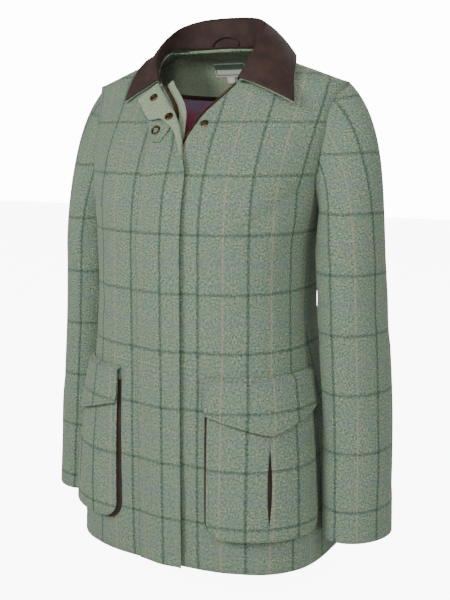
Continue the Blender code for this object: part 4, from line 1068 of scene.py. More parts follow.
def collar_surface(right, stations, down_count):
    """Half the collar's outer skin: up the stand, over the roll and down the fall.

    The stand is a straight line from the neck seam to the roll. The fall is a quadratic curve
    from the roll to the edge, whose middle point stands out level with the roll.
    """
    base, roll, edge = collar_line(stations, right)
    out = edge - roll
    out[:, 2] = 0
    level = unit(out)
    height = roll[:, 2] - base[:, 2]
    roll_width = np.clip(height * COLLAR_ROLL_SHARE, COLLAR_ROLL_LEAST, COLLAR_ROLL_WIDTH)[:, None]
    middle = roll + level * roll_width + (edge - roll) * COLLAR_FALL_MIDDLE
    middle[:, 2] += COLLAR_CROWN
    t = np.linspace(0, 1, down_count)[None, :, None]
    fall = (1 - t)**2 * roll[:, None] + 2 * t * (1 - t) * middle[:, None] + t**2 * edge[:, None]
    s = np.linspace(0, 1, 10)[None, :-1, None]
    stand = base[:, None] + (roll - base)[:, None] * s
    fall[:, 1:] = clear_of_body(fall[:, 1:], COLLAR_CLEAR + MOLESKIN + FACING + SEAM_GAP)
    return np.concatenate([stand, fall], axis=1)


def cloth_uv(grid):
    """The cut of a small piece: lengths along its rows and down its columns."""
    across = np.linalg.norm(np.diff(grid, axis=1), axis=2)
    across = np.concatenate([np.zeros((len(grid), 1)), np.cumsum(across, axis=1)], axis=1)
    down = np.linalg.norm(np.diff(grid, axis=0), axis=2)
    down = np.concatenate([np.zeros((1, grid.shape[1])), np.cumsum(down, axis=0)], axis=0)
    return np.stack([across, down], axis=-1)


def collar_grid(stations, down_count):
    """The whole collar's outer skin, from its right end to its left."""
    left = collar_surface(False, stations, down_count)
    right = mirrored(collar_surface(True, stations, down_count))[::-1]
    return np.concatenate([right[:-1], left], axis=0)


stations = np.linspace(0, len(COLLAR) - 1, 73)
collar = collar_grid(stations, 22)
columns = np.arange(collar.shape[1])
roll_column = len(columns) - 22
fold = np.interp(columns, (0, roll_column, roll_column + 8), (1, 1, 0))
depth = COLLAR_LAY + (COLLAR_ROLL_LAY - COLLAR_LAY) * fold
under = collar - mitred_normals(collar) * depth[None, :, None]
under[:, -1] += unit(under[:, -1] - under[:, -2]) * COLLAR_UNDER_RIM
rounded = np.concatenate([columns[:roll_column - 3], columns[roll_column + 3:]])
wave = np.sin(np.arange(len(collar))[:, None] * 0.19 + 0.8) * 0.9 * MM
fall = np.clip((columns[None, :] - roll_column - 3) / 16, 0, 1)
collar = collar + mitred_normals(collar) * (wave * fall)[..., None]
under = (under + mitred_normals(under) * (wave * fall)[..., None])[:, rounded]
sheet("cloth_collar_top", collar, MOLESKIN, cloth_uv(collar), MOLESKIN_CLOTH, "collar_top")
sheet("cloth_collar_under", under, FACING, cloth_uv(under), TWEED_INSIDE, "collar_under")

# %% [markdown]
# ## Placket, zip and throat
# The placket runs over the zip and turns back on itself above the slider, where its paler
# inside and two snap sockets show.

# %% Placket and zip
def front_edge(right, z):
    """How far out the zip edge of a front lies at given heights, in true coordinates."""
    values = np.asarray(FRONT_ROWS, float)[NECK_ROW:]
    column = 4 if right else 0
    x = spline(-values[:, 1], values, -np.asarray(z) / MM)[:, column] * MM
    return -x if right else x


def edge_strip(right, z, across, lift):
    """A strip along a front's zip edge: across is measured out past the edge of the cloth.

    Near the neck the edge leans, so the strip's across direction leans with it.
    """
    x = front_edge(right, z)
    way = -1 if right else 1
    slope = np.gradient(x, z)
    lean = np.stack([np.ones_like(slope), -slope], axis=1)
    lean = lean / np.linalg.norm(lean, axis=1, keepdims=True)
    place_x = x[:, None] - way * across * lean[:, :1]
    place_z = z[:, None] - way * across * lean[:, 1:]
    place_z = np.minimum(place_z, 3 * MM)
    turn = turn_at_x(place_x, place_z)
    sign = np.where(turn < 0, -1, 1)
    points = lifted(np.abs(turn), place_z, lift)
    points[..., 0] *= sign
    return points


STRIP_ROWS = np.concatenate([np.linspace(-50, -200, 76), np.linspace(-205, -736, 107)]) * MM
ones = np.ones((len(STRIP_ROWS), 1))


def placket_grid():
    """The placket's outer face: flat over the zip below, rolled back on itself above.

    Past the start of the roll the cloth turns evenly over a set arc and then runs straight.
    """
    roll = by_height(PLACKET_ROLL, STRIP_ROWS)
    start = roll[:, 1:2] * MM
    turn = np.radians(roll[:, 2:3]) + 1e-4
    arc = math.pi * PLACKET_ROLL_RADIUS
    flat = PLACKET_ROOT + (start - PLACKET_ROOT) * np.linspace(0, 1, 15)[None, :-1]
    angle = turn * np.linspace(0, 1, 17)[None, :]
    radius = arc / turn
    curl = start + radius * np.sin(angle)
    curl_lift = radius * (1 - np.cos(angle))
    left_over = roll[:, 3:4] * MM - start - arc
    run = left_over * np.linspace(0, 1, 10)[None, 1:]
    tail = curl[:, -1:] + run * np.cos(turn)
    tail_lift = curl_lift[:, -1:] + run * np.sin(turn)
    across = np.concatenate([flat, curl, tail], axis=1)
    lift = np.concatenate([np.zeros_like(flat), curl_lift, tail_lift], axis=1)
    over_zip = np.clip((across - PLACKET_ROOT) / -PLACKET_ROOT, 0, 1)
    past_zip = np.clip(across / PLACKET_EDGE, 0, 1)
    closed = np.clip((PLACKET_OPEN_Z - STRIP_ROWS[:, None]) / PLACKET_CLOSING, 0, 1)
    over_zip = np.sin(over_zip * math.pi / 2)**2
    bulge = closed * PLACKET_BULGE * (over_zip - PLACKET_SETTLE * past_zip**2)
    return edge_strip(True, STRIP_ROWS, across, PLACKET_LAY + TWEED + bulge + lift)


PLACKET_LINE = 0.004
# The free edge stands a little off the front, which draws a shadow line beside it
PLACKET_LIFT = 2.4 * MM
PLACKET_LIFT_TOP = -0.19
PLACKET_LIFT_WIDTH = 9 * MM
placket = placket_grid()
from_edge = cloth_uv(placket)[..., 0]
from_edge = from_edge[:, -1:] - from_edge
edge_rise = np.clip(1 - from_edge / PLACKET_LIFT_WIDTH, 0, 1) ** 1.5
flat_rows = np.clip((PLACKET_LIFT_TOP - STRIP_ROWS) / 0.05, 0, 1)[:, None]
placket = placket + mitred_normals(placket) * (PLACKET_LIFT * edge_rise * flat_rows)[..., None]
placket_across = cloth_uv(placket)[..., 0] + PLACKET_ROOT - PLACKET_LINE
placket_down = length_down(STRIP_ROWS) - CHECK_LEVEL[False]
placket_uv = np.stack([placket_across, np.broadcast_to(placket_down[:, None], placket_across.shape)], axis=-1)
sheet("cloth_placket", placket, TWEED, placket_uv, TWEED_CLOTH, "placket")


def strip_uv(low, high, columns):
    """The cut of a straight strip along the zip."""
    u = np.broadcast_to(np.linspace(low, high, columns)[None, :], (len(STRIP_ROWS), columns))
    v = np.broadcast_to(placket_down[:, None], u.shape)
    return np.stack([u, v], axis=-1)


tape = np.linspace(TAPE_IN, TAPE_OUT, 7)[None, :] * ones
left_tape = edge_strip(False, STRIP_ROWS, tape, TAPE_DEPTH * ones)
right_tape = edge_strip(True, STRIP_ROWS, tape, TAPE_DEPTH * ones)
guard_across = np.linspace(GUARD_IN, GUARD_OUT, 9)[None, :] * ones
guard = edge_strip(True, STRIP_ROWS, guard_across, GUARD_DEPTH * ones)
tape_uv = strip_uv(TAPE_IN, TAPE_OUT, 7)
sheet("cloth_tape_left", left_tape, TAPE, tape_uv, TAPE_CLOTH, "zip_tape_left", flip=True)
sheet("cloth_tape_right", right_tape, TAPE, tape_uv, TAPE_CLOTH, "zip_tape_right")
sheet("cloth_zip_guard", guard, FACING, strip_uv(GUARD_IN, GUARD_OUT, 9), TWEED_INSIDE, "zip_guard")


def placed_boxes(name, centres, along, out, sizes, material):
    """Small boxes along a line: each has its centre, its direction, its outward way and a size."""
    across = unit(np.cross(along, out))
    out = unit(np.cross(across, along))
    signs = np.array([(i, j, k) for i in (-1, 1) for j in (-1, 1) for k in (-1, 1)]) / 2
    frames = np.stack([along * sizes[0], across * sizes[1], out * sizes[2]], axis=1)
    points = centres[:, None] + np.einsum("cs,nsx->ncx", signs, frames)
    box = np.array([(0, 1, 3, 2), (4, 6, 7, 5), (0, 4, 5, 1), (2, 3, 7, 6), (0, 2, 6, 4), (1, 5, 7, 3)])
    faces = (box[None] + 8 * np.arange(len(centres))[:, None, None]).reshape(-1, 4)
    return part_of(name, points.reshape(-1, 3), faces.tolist(), material, smooth=False)


def even_places(line, pitch):
    """Positions every pitch along a line of points, as fractional indices."""
    run = np.concatenate([[0], np.cumsum(np.linalg.norm(np.diff(line, axis=0), axis=1))])
    marks = np.arange(pitch / 2, run[-1], pitch)
    return np.interp(marks, run, np.arange(len(line)))


def sample(values, at):
    """Rows of an array at fractional indices."""
    low = np.clip(at.astype(int), 0, len(values) - 2)
    share = (at - low)[:, None]
    return values[low] * (1 - share) + values[low + 1] * share


TOOTH = (1.3 * MM, 3.0 * MM, 1.5 * MM)
TOOTH_PITCH = 2.2 * MM
for side, strip, flip in (("left", left_tape, -1), ("right", right_tape, 1)):
    line = strip[:, -1] + mitred_normals(strip)[:, -1] * flip * 0.6 * MM
    at = even_places(line, TOOTH_PITCH)
    along = unit(sample(np.gradient(line, axis=0), at))
    out = unit(sample(mitred_normals(strip)[:, -1] * flip, at))
    placed_boxes("zip_teeth_" + side, sample(line, at), along, out, TOOTH, BRASS_BRIGHT)
print("placket and zip done")

# %% Throat tab and snaps
def turned(name, place, out, profile, material, node, count=48):
    """A small part turned about its outward direction, from a profile of radii and heights."""
    across = unit(np.cross(out, np.array([0.0, 0.0, 1.0])))
    up = np.cross(out, across)
    profile = np.array(profile) * MM
    angles = np.linspace(0, 2 * math.pi, count, endpoint=False)
    circle = np.cos(angles)[:, None] * across + np.sin(angles)[:, None] * up
    rings = place + profile[:, 1, None, None] * out + profile[:, 0, None, None] * circle[None]
    index = np.arange(len(profile) * count).reshape(len(profile), count)
    closed = profile[0, 0] > 0
    lower = index if closed else index[:-1]
    upper = np.roll(index, -1, axis=0) if closed else index[1:]
    faces = np.stack([lower, np.roll(lower, -1, axis=1), np.roll(upper, -1, axis=1), upper], axis=-1)
    faces = faces.reshape(-1, 4)
    item = part_of(name, rings.reshape(-1, 3), faces.tolist(), material, smooth=False)
    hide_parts(node)
    bevel = item.modifiers.new("soft edges", "BEVEL")
    bevel.width = 0.00025
    bevel.segments = 2
    return item


def on_surface(x, z, lift):
    """A place over the front and the outward direction there."""
    turn = float(turn_at_x(np.array(x), np.array(z)))
    side = np.array([-1 if x < 0 else 1, 1, 1])
    return lifted(abs(turn), np.array(z), lift) * side, body_normal(abs(turn), np.array(z)) * side


tab_z = np.linspace(TAB[0][0], TAB[-1][0], 40) * MM
tab_rows = by_height(TAB, tab_z)
tab_x = (tab_rows[:, 1:2] + (tab_rows[:, 2:3] - tab_rows[:, 1:2]) * np.linspace(0, 1, 30)[None, :]) * MM
tab_z = tab_z[:, None] * np.ones_like(tab_x)
tab = lifted(np.abs(turn_at_x(tab_x, tab_z)), tab_z, TAB_LIFT * np.ones_like(tab_x))
tab[..., 0] *= np.where(tab_x < 0, -1, 1)
tab_uv = np.stack([tab_x - RIGHT_LINE, length_down(tab_z) - CHECK_LEVEL[False]], axis=-1)
sheet("cloth_throat_tab", tab, TWEED, tab_uv, TWEED_CLOTH, "throat_tab")
place, out = on_surface(*TAB_SNAP, TAB_LIFT + LAY_GAP)
turned("ring_snap", place, out, RING_PROFILE, BRASS, "tab_snap")
place, out = on_surface(*STUD, LAY_GAP)
turned("stud", place, out, STUD_PROFILE, BRASS, "front_stud")
placket_normals = mitred_normals(placket)
SOCKET_LEVELS = np.linspace(-50, -200, 13) * MM
SOCKET_COLUMN = -7
for label, z in SOCKETS:
    level = SOCKET_LEVELS[np.argmin(np.abs(SOCKET_LEVELS - z))]
    row = int(np.argmin(np.abs(STRIP_ROWS - level)))
    column = SOCKET_COLUMN
    out = unit(-placket_normals[row, column])
    place = placket[row, column] + out * (TWEED + LAY_GAP)
    turned("socket_" + label, place, out, SOCKET_PROFILE, BRASS, "placket_socket_" + label)

# %% [markdown]
# ## The pockets
# Each bellows pocket has two face halves parted at a slit with brown moleskin behind, a brown
# gusset down its sides and round its bottom, and a pointed flap.

# %% Pockets
def pocket_half_width(z):
    """Half the pocket's width at a height: full width with quarter-round bottom corners."""
    half = (POCKET_OUTER - POCKET_INNER) / 2
    into = np.clip((POCKET_BOTTOM + POCKET_CORNER - z) / POCKET_CORNER, 0, 1)
    return half - POCKET_CORNER * (1 - np.sqrt(1 - into**2))


POCKET_MIDDLE = (POCKET_INNER + POCKET_OUTER) / 2


def pocket_lift(arc, z):
    """How far the pocket's face stands off the coat: least at its top, most low in the middle."""
    down = np.clip((POCKET_TOP - z) / (POCKET_TOP - POCKET_BOTTOM), 0, 1)
    edge = np.clip(np.abs(arc - POCKET_MIDDLE) / pocket_half_width(POCKET_TOP), 0, 1)
    fill = np.sin(down * math.pi * POCKET_FULLEST)**1.2
    middle = POCKET_LIFT_TOP + (POCKET_LIFT_BOTTOM - POCKET_LIFT_TOP) * fill
    side = POCKET_LIFT_TOP + (POCKET_LIFT_SIDE - POCKET_LIFT_TOP) * np.sin(down * math.pi / 2)
    return side + (middle - side) * (1 - edge**2.5)


ARC_LEVELS = 60
ARC_PLACES = 400


def turn_at_arc_fine(arc, z):
    """The turn an arc's length round the front, found on a table of levels and turns."""
    arc, z = np.broadcast_arrays(np.asarray(arc, float), np.asarray(z, float))
    turns = np.linspace(0, math.pi / 2, 241)
    levels = np.linspace(z.min() - 1e-6, z.max() + 1e-6, ARC_LEVELS)
    line = body_point(turns[None, :], levels[:, None])
    steps = np.linalg.norm(np.diff(line, axis=1), axis=2)
    length = np.concatenate([np.zeros((ARC_LEVELS, 1)), np.cumsum(steps, axis=1)], axis=1)
    even = np.linspace(0, length[:, -1].min(), ARC_PLACES)
    table = np.stack([np.interp(even, one, turns) for one in length])
    across = np.clip(np.abs(arc) / even[1], 0, ARC_PLACES - 1.001)
    down = np.clip((z - levels[0]) / (levels[1] - levels[0]), 0, ARC_LEVELS - 1.001)
    i, j = down.astype(int), across.astype(int)
    f, g = down - i, across - j
    low = table[i, j] * (1 - g) + table[i, j + 1] * g
    high = table[i + 1, j] * (1 - g) + table[i + 1, j + 1] * g
    return low * (1 - f) + high * f


def over_front(arc, z, lift):
    """Points over the creased front at an arc, a height and a lift."""
    arc, z, lift = np.broadcast_arrays(arc, z, lift)
    turn = turn_at_arc_fine(arc, z)
    normal = body_normal(turn, z)
    base = body_point(turn, z)
    return base + normal * (lift + crease_height(base, BODY_CREASES) * 0.5)[..., None]


def pocket_uv(arc, z, right):
    """The pocket's check matches the front's."""
    arc, z = np.broadcast_arrays(arc, z)
    across = -arc - RIGHT_LINE if right else arc - LEFT_LINE
    return np.stack([across, length_down(z) - CHECK_LEVEL[False]], axis=-1)


def place_side(grid, right):
    """A grid made for the wearer's left, mirrored if it is for the right."""
    return mirrored(grid) if right else grid


def edge_share(count, tight=0.35):
    """Even shares from 0 to 1, closer together at both ends."""
    t = np.linspace(0, 1, count)
    return t - tight * np.sin(2 * math.pi * t) / (2 * math.pi)


POCKET_LINES = {}
for side in ("left", "right"):
    right = side == "right"
    z = np.concatenate([
        np.linspace(POCKET_TOP, POCKET_BOTTOM + POCKET_CORNER, 46)[:-1],
        POCKET_BOTTOM + POCKET_CORNER * (1 - np.sin(np.linspace(0, math.pi / 2, 20))),
    ])
    into = np.clip((SLIT_TOP - z) / (SLIT_TOP - SLIT_BOTTOM), 0, 1)
    slit = SLIT_SEAM + (SLIT_HALF - SLIT_SEAM) * np.sin(into * math.pi)
    half = pocket_half_width(z)
    part = edge_share(26)[None, :]
    for label, way in (("inner", -1), ("outer", 1)):
        near = POCKET_MIDDLE + way * slit[:, None]
        far = POCKET_MIDDLE + way * half[:, None]
        first, final = (far, near) if way < 0 else (near, far)
        arc = first + (final - first) * part
        rows = z[:, None] * np.ones_like(arc)
        face = over_front(arc, rows, pocket_lift(arc, rows))
        node = f"pocket_{label}_{side}"
        POCKET_LINES[node] = face
        sheet("cloth_" + node, place_side(face, right), TWEED, pocket_uv(arc, rows, right), TWEED_CLOTH,
              node, flip=right)
    z = np.linspace(SLIT_TOP + 10 * MM, SLIT_BOTTOM - 6 * MM, 40)[:, None]
    arc = POCKET_MIDDLE + SLIT_BACKING_HALF * np.linspace(-1, 1, 9)[None, :] * np.ones_like(z)
    rows = z * np.ones_like(arc)
    backing = over_front(arc, rows, pocket_lift(arc, rows) - SLIT_BACKING_DEPTH)
    sheet("cloth_slit_backing_" + side, place_side(backing, right), FACING, pocket_uv(arc, rows, right),
          MOLESKIN_CLOTH, "slit_backing_" + side,
          flip=right)

# %% Gussets and flaps
def gusset_outline(count):
    """Positions and outward directions down one side, round the bottom and up the other."""
    half = (POCKET_OUTER - POCKET_INNER) / 2
    low = POCKET_BOTTOM + POCKET_CORNER
    down = np.linspace(POCKET_TOP - 10 * MM, low, count)
    turn = np.linspace(0, math.pi / 2, count // 3)[1:]
    along = np.linspace(half - POCKET_CORNER, 0, count // 2)[1:]
    x = np.concatenate([np.full(count, half), half - POCKET_CORNER * (1 - np.cos(turn)), along])
    z = np.concatenate([down, low - POCKET_CORNER * np.sin(turn), np.full(len(along), POCKET_BOTTOM)])
    out_x = np.concatenate([np.ones(count), np.cos(turn), np.zeros(len(along))])
    out_z = np.concatenate([np.zeros(count), np.sin(turn), np.ones(len(along))])
    outline = np.stack([x, z, out_x, out_z], axis=1)
    other = outline[-2::-1] * np.array([-1, 1, -1, 1])
    return np.concatenate([outline, other])


FLAP_PROUD = 3.2 * MM
FLAP_DROOP = 1.6 * MM
FLAP_TUCK = 0.1
FLAP_LINES = {}
for side in ("left", "right"):
    right = side == "right"
    outline = gusset_outline(60)
    shares = np.linspace(0, 1, 9)
    insets = np.interp(shares, (0, 0.5, 1), (-GUSSET_FLARE, GUSSET_INSET * 0.2, GUSSET_INSET))
    arc = POCKET_MIDDLE + outline[:, :1] - insets[None, :] * outline[:, 2:3]
    z = outline[:, 1:2] + insets[None, :] * outline[:, 3:4]
    top = pocket_lift(arc, z) - TWEED - INNER_GAP
    bottom = FACING + LAY_GAP
    lift = bottom + (np.maximum(top, bottom) - bottom) * shares[None, :]
    gusset = over_front(arc, z, lift)
    sheet("cloth_gusset_" + side, place_side(gusset, right), FACING, cloth_uv(gusset), MOLESKIN_CLOTH,
          "gusset_" + side, flip=not right)
    half = (POCKET_OUTER - POCKET_INNER) / 2 + FLAP_OVERHANG
    across = np.concatenate([-edge_share(24)[::-1], edge_share(24)[1:]])[None, :]
    low = FLAP_CORNER + (FLAP_POINT - FLAP_CORNER) * (1 - np.sqrt(across**2 + 0.0016))
    tucked = np.linspace(0, FLAP_TUCK, 6)[:-1]
    down = np.concatenate([tucked, FLAP_TUCK + (1 - FLAP_TUCK) * edge_share(30)])[:, None]
    z = FLAP_TOP + (low - FLAP_TOP) * down
    arc = POCKET_MIDDLE + half * across * np.ones_like(z)
    on_pocket = np.clip(down / FLAP_TUCK, 0, 1)
    on_pocket = on_pocket * on_pocket * (3 - 2 * on_pocket)
    under_it = TWEED + LAY_GAP
    droop = FLAP_DROOP * np.sin(down * math.pi) * (1 - across**2)
    proud = FLAP_PROUD * down**3
    lift = under_it + (pocket_lift(arc, z) + FLAP_STEP + TWEED - under_it) * on_pocket + droop + proud
    flap = over_front(arc, z, lift)
    FLAP_LINES[side] = flap
    sheet("cloth_flap_" + side, place_side(flap, right), TWEED, pocket_uv(arc, z, right), TWEED_CLOTH,
          "flap_" + side, flip=right)

# %% [markdown]
# ## Inside the neck
# The tweed facing, its brown bound edge, the satin lining below, a bare label and size tag,
# and the hanging loop.

# %% Neck
def inner_grid(turn, height, lift):
    """Points inside the back, at turns, heights and a lift below the outer face."""
    turn, height, lift = np.broadcast_arrays(turn, height, lift)
    points = lifted(np.abs(turn), height, lift, back=True)
    points[..., 0] *= np.where(turn < 0, -1, 1)
    return points


FACING_COVER = 4 * MM
turns = np.radians(np.linspace(-FACING_TURN, FACING_TURN, 81))
top = FACING_TOP + FACING_COVER - FACING_TOP_FALL * (turns / (math.pi / 2)) ** 2
low = -FACING_DEPTH * np.cos(turns * 0.9)
z = top + (low - top) * np.linspace(0, 1, 30)[:, None]
inside = -TWEED - INNER_GAP
facing = inner_grid(turns[None, :], z, inside)
facing_uv = body_uv(facing, 0.024, True)
sheet("cloth_neck_facing", facing, FACING, facing_uv, TWEED_INSIDE, "neck_facing", flip=True)
behind = inside - FACING - 3.2 * INNER_GAP
wanted = z[-1:] + (z[-8:-7] - z[-1:]) * np.linspace(0.3, 0, 6)[:, None]
binding = inner_grid(turns[None, :], wanted, behind)
sheet("cloth_facing_binding", binding, LABEL, cloth_uv(binding), MOLESKIN_CLOTH, "facing_binding",
      flip=True)
wide = np.radians(np.linspace(-LINING_TURN, LINING_TURN, 81))[None, :]
TUCKED = 4 * MM
faced = np.minimum(np.abs(wide), np.radians(FACING_TURN))
lining_top = TUCKED - FACING_DEPTH * np.cos(faced * 0.9)
rows = lining_top + (LINING_BOTTOM - lining_top) * np.linspace(0, 1, 60)[:, None]
ripple = 1.2 * MM * np.sin(wide * 21) * np.clip((lining_top - rows) / 0.03, 0, 1)
lining = inner_grid(wide, rows, -LINING_IN - 0.8 * MM - ripple)
sheet("cloth_lining", lining, SATIN, cloth_uv(lining), SATIN_CLOTH, "lining", flip=True)


def label_grid(width, high, low_z, lift, columns=21, rows=13):
    """A small label on the facing."""
    x = np.linspace(-width / 2, width / 2, columns)[None, :]
    z = np.linspace(high, low_z, rows)[:, None]
    return inner_grid(turn_at_x(x, z, back=True), z, lift)


on_facing = inside - FACING - LAY_GAP
tag = label_grid(SIZE_TAG_WIDTH, LABEL_BOTTOM - SEAM_GAP, SIZE_TAG_BOTTOM, on_facing)
tag_item = shell("cloth_size_tag", tag, LABEL, cloth_uv(tag), TAG_CLOTH, True)
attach(tag_item, ROOT)
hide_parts("size_tag")
label = label_grid(LABEL_WIDTH, LABEL_TOP, LABEL_BOTTOM, on_facing)
sheet("cloth_neck_label", label, LABEL, cloth_uv(label), LABEL_CLOTH, "neck_label",
      flip=True)


def tube(name, line, radius, material, sides=12, out=(0.0, -1.0, 0.0)):
    """A round tube along a line, closed at both ends."""
    along = unit(np.gradient(line, axis=0))
    across = unit(np.cross(along, np.array(out)))
    up = np.cross(across, along)
    angles = np.linspace(0, 2 * math.pi, sides, endpoint=False)
    circle = np.cos(angles)[None, :, None] * across[:, None] + np.sin(angles)[None, :, None] * up[:, None]
    points = (line[:, None] + circle * radius).reshape(-1, 3)
    index = np.arange(len(line) * sides).reshape(len(line), sides)
    faces = np.stack(
        [index[:-1], index[1:], np.roll(index[1:], -1, axis=1), np.roll(index[:-1], -1, axis=1)], axis=-1
    ).reshape(-1, 4).tolist()
    faces += [index[0].tolist(), index[-1, ::-1].tolist()]
    return part_of(name, points, faces, material)


base, roll, _ = collar_line(np.linspace(0, 2, 9), False)
angles = np.linspace(0, math.pi, 60)
x = LOOP_SPAN / 2 * np.cos(angles)
low = np.stack([np.interp(np.abs(x), base[:, 0], base[:, k]) for k in range(3)], axis=1)
high = np.stack([np.interp(np.abs(x), roll[:, 0], roll[:, k]) for k in range(3)], axis=1)
low[:, 0], high[:, 0] = x, x
rise = (LOOP_RISE * np.sin(angles) + 3 * MM)[:, None]
line = low + unit(high - low) * rise + np.array([0, -LOOP_OFF, 0])
loop_tube = tube("loop_tube", line, LOOP_RADIUS, MOLESKIN_CLOTH)
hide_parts("hanger_loop")

# %% [markdown]
# ## Stitching
# Each stitch is a short thread lying in the cloth. Lines of stitches run a set distance
# inside an edge.

# %% Stitches
STITCH_TEMPLATE = np.array(
    [(-0.5, 0, -0.6)]
    + [
        (x, math.cos(a) * r, math.sin(a) * r)
        for x, r in ((-0.38, 0.8), (0.38, 0.8))
        for a in (0.8, 2.4, 3.9, 5.5)
    ]
    + [(0.5, 0, -0.6)]
)


def stitches(name, line, normals, material, pitch=3.2 * MM, length=2.4 * MM, thick=0.42 * MM):
    """Threads of a length every pitch along a line of points, lying on the outward normals."""
    at = even_places(line, pitch)
    centre = sample(line, at)
    along = unit(sample(np.gradient(line, axis=0), at))
    out = unit(sample(normals, at))
    across = unit(np.cross(out, along))
    out = np.cross(along, across)
    t = STITCH_TEMPLATE
    points = (
        centre[:, None]
        + along[:, None] * t[None, :, :1] * length
        + across[:, None] * t[None, :, 1:2] * thick
        + out[:, None] * t[None, :, 2:] * thick
    )
    ring = [[0, 1 + (k + 1) % 4, 1 + k] for k in range(4)]
    ring += [[1 + k, 1 + (k + 1) % 4, 5 + (k + 1) % 4, 5 + k] for k in range(4)]
    ring += [[9, 5 + k, 5 + (k + 1) % 4] for k in range(4)]
    faces = [[i + 10 * n for i in face] for n in range(len(centre)) for face in ring]
    return part_of(name, points.reshape(-1, 3), faces, material)


def inset_line(grid, flip, path):
    """A line of grid points given as (row, column) pairs, with outward normals."""
    normals = mitred_normals(grid) * (-1 if flip else 1)
    rows, columns = path
    return grid[rows, columns], normals[rows, columns]


def nearest_index(values, target):
    """Index of the value nearest to a target."""
    return int(np.argmin(np.abs(np.asarray(values) - target)))


def edge_path(grid, inset, edges):
    """Rows and columns of a path an inset inside some edges of a grid.

    edges is a string of t, r, b and l for the top, right, bottom and left edges in order.
    """
    size = cloth_uv(grid)
    middle_row, middle_column = len(grid) // 2, grid.shape[1] // 2
    widths = size[middle_row, :, 0]
    heights = size[:, middle_column, 1]
    c0 = nearest_index(widths, inset) if "l" in edges else 0
    c1 = nearest_index(widths, widths[-1] - inset) if "r" in edges else grid.shape[1] - 1
    r0 = nearest_index(heights, inset) if "t" in edges else 0
    r1 = nearest_index(heights, heights[-1] - inset) if "b" in edges else len(grid) - 1
    runs = {
        "t": (np.full(c1 - c0 + 1, r0), np.arange(c0, c1 + 1)),
        "r": (np.arange(r0, r1 + 1), np.full(r1 - r0 + 1, c1)),
        "b": (np.full(c1 - c0 + 1, r1), np.arange(c1, c0 - 1, -1)),
        "l": (np.arange(r1, r0 - 1, -1), np.full(r1 - r0 + 1, c0)),
    }
    rows = np.concatenate([runs[e][0] for e in edges])
    columns = np.concatenate([runs[e][1] for e in edges])
    return rows, columns


def stitch_edges(name, grid, inset, edges, material, flip=False, **size):
    """Stitches along some edges of a grid."""
    line, normals = inset_line(grid, flip, edge_path(grid, inset, edges))
    keep = np.concatenate([[True], np.linalg.norm(np.diff(line, axis=0), axis=1) > 1e-5])
    return stitches(name, line[keep], normals[keep], material, **size)


stitch_edges("stitch_collar", collar, 6 * MM, "trb", THREAD_BROWN, length=2.6 * MM)
stitch_edges("stitch_placket_edge", placket, 6 * MM, "r", THREAD_PALE)
for k, inset in enumerate((1.5, 7.5)):
    stitch_edges(f"stitch_placket_root_{k}", placket, inset * MM, "l", THREAD_GREEN)
for side in ("left", "right"):
    right = side == "right"
    flap = place_side(FLAP_LINES[side], right)
    stitch_edges("stitch_flap_" + side, flap, 5.5 * MM, "rbl", THREAD_GREEN, flip=right)
    stitch_edges("stitch_flap_top_" + side, flap, 6 * MM, "t", THREAD_GREEN, flip=right)
    for label, edges in (("inner", "bl"), ("outer", "rb")):
        face = place_side(POCKET_LINES[f"pocket_{label}_{side}"], right)
        stitch_edges(f"stitch_pocket_{label}_{side}", face, 5 * MM, edges, THREAD_GREEN, flip=right)
    front = dressed(left_grid if not right else right_grid)
    armhole_edge = "r" if not right else "l"
    stitch_edges("stitch_hem_" + side, front, 26 * MM, "b", THREAD_GREEN)
    for k, inset in enumerate((1.6, 7.0)):
        grid = front[:last + 1]
        stitch_edges(f"stitch_armhole_{side}_{k}", grid, inset * MM, armhole_edge, THREAD_GREEN)
    placed = mirrored(top_grid) if right else top_grid
    stitch_edges("stitch_cuff_" + side, placed, 24 * MM, "b", THREAD_GREEN, flip=not right)
stitch_edges("stitch_tab", tab, 3.5 * MM, "rb", THREAD_GREEN)
back_cloth = dressed(whole_back, True)
stitch_edges("stitch_hem_back", back_cloth, 26 * MM, "b", THREAD_GREEN, flip=True)

# %% [markdown]
# ## Small metal parts
# The slider and its pull keep their solids, with a soft edge and antique brass.

# %% Zip slider and pull
for name in ("zip_slider", "zip_pull"):
    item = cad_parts[name]
    item.data.materials.clear()
    item.data.materials.append(BRASS)
    bevel = item.modifiers.new("soft edges", "BEVEL")
    bevel.width = 0.0002
    bevel.segments = 2

# %% [markdown]
# ## Studio
# A pale floor, a key light from the front left, softer lights round it, and the camera at the
# photo's place.

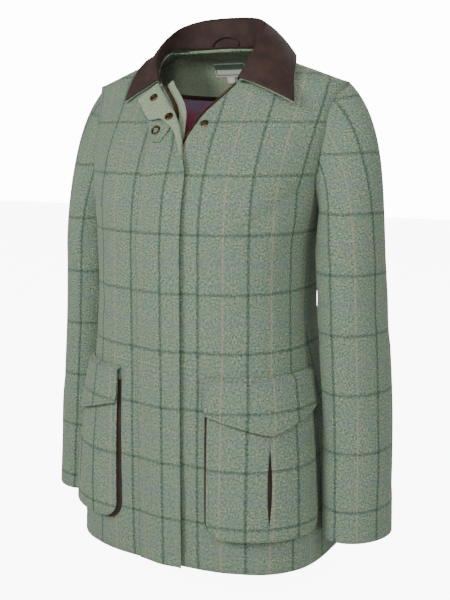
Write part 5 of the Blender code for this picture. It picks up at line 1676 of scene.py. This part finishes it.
# %% Floor, light and camera
def studio():
    """A wide pale floor below the coat."""
    level = HEM_LEVEL
    points = np.array([(-6, -6, level), (6, -6, level), (6, 6, level), (-6, 6, level)])
    paper, tree, surface = new_surface("white paper", 0.9)
    surface.inputs["Base Color"].default_value = linear("f4f4f4")
    surface.inputs["Emission Color"].default_value = (1, 1, 1, 1)
    seen = add(tree, "ShaderNodeLightPath", out="Is Camera Ray")
    tree.links.new(stepped(tree, seen, 0.0, 1.0, 0.0, PAPER_GLOW), surface.inputs["Emission Strength"])
    floor = mesh_object("floor", points, [[0, 1, 2, 3]], paper, smooth=False)
    return floor


def area_light(name, place, target, size, power):
    """A square soft light aimed at a point."""
    lamp = bpy.data.lights.new(name, "AREA")
    lamp.shape = "SQUARE"
    lamp.size = size
    lamp.energy = power
    item = bpy.data.objects.new(name, lamp)
    away = np.array(place) - np.array(target)
    yaw = math.atan2(away[0], -away[1])
    pitch = math.atan2(np.hypot(away[0], away[1]), away[2])
    item.location = place
    item.rotation_euler = (pitch, 0, yaw)
    bpy.context.scene.collection.objects.link(item)
    return item


HEM_LEVEL = -0.79
BACKDROP_GLOW = 14.0
PAPER_GLOW = 9.0
AIR_GLOW = 0.18
studio()
world = bpy.data.worlds.new("studio air")
world.use_nodes = True
air = world.node_tree
camera_sees = add(air, "ShaderNodeLightPath", out="Is Camera Ray")
glow = stepped(air, camera_sees, 0.0, 1.0, AIR_GLOW, BACKDROP_GLOW)
air.links.new(glow, air.nodes["Background"].inputs["Strength"])
air.nodes["Background"].inputs["Color"].default_value = (1, 1, 1, 1)
bpy.context.scene.world = world
area_light("key", (-1.1, -2.4, 1.1), (0, 0, -0.3), 0.7, 52)
area_light("fill", (0.8, -2.4, 1.0), (0, 0, -0.2), 0.9, 30)
area_light("right", (2.6, -1.0, 0.9), (0, 0, -0.4), 1.0, 24)
area_light("back", (0.2, 2.2, 1.4), (0, 0, -0.3), 1.6, 24)

CAMERA_TURN = 0.4958
CAMERA_TILT = 0.1717
CAMERA_PLACE = (0.7301, -1.3003, -0.1113)
camera = bpy.data.objects.new("photo camera", bpy.data.cameras.new("photo camera"))
camera.data.lens = 59.67
camera.data.sensor_width = 36
camera.data.sensor_fit = "AUTO"
camera.location = CAMERA_PLACE
camera.rotation_euler = (math.pi / 2 - CAMERA_TILT, 0, CAMERA_TURN)
bpy.context.scene.collection.objects.link(camera)
bpy.context.scene.camera = camera
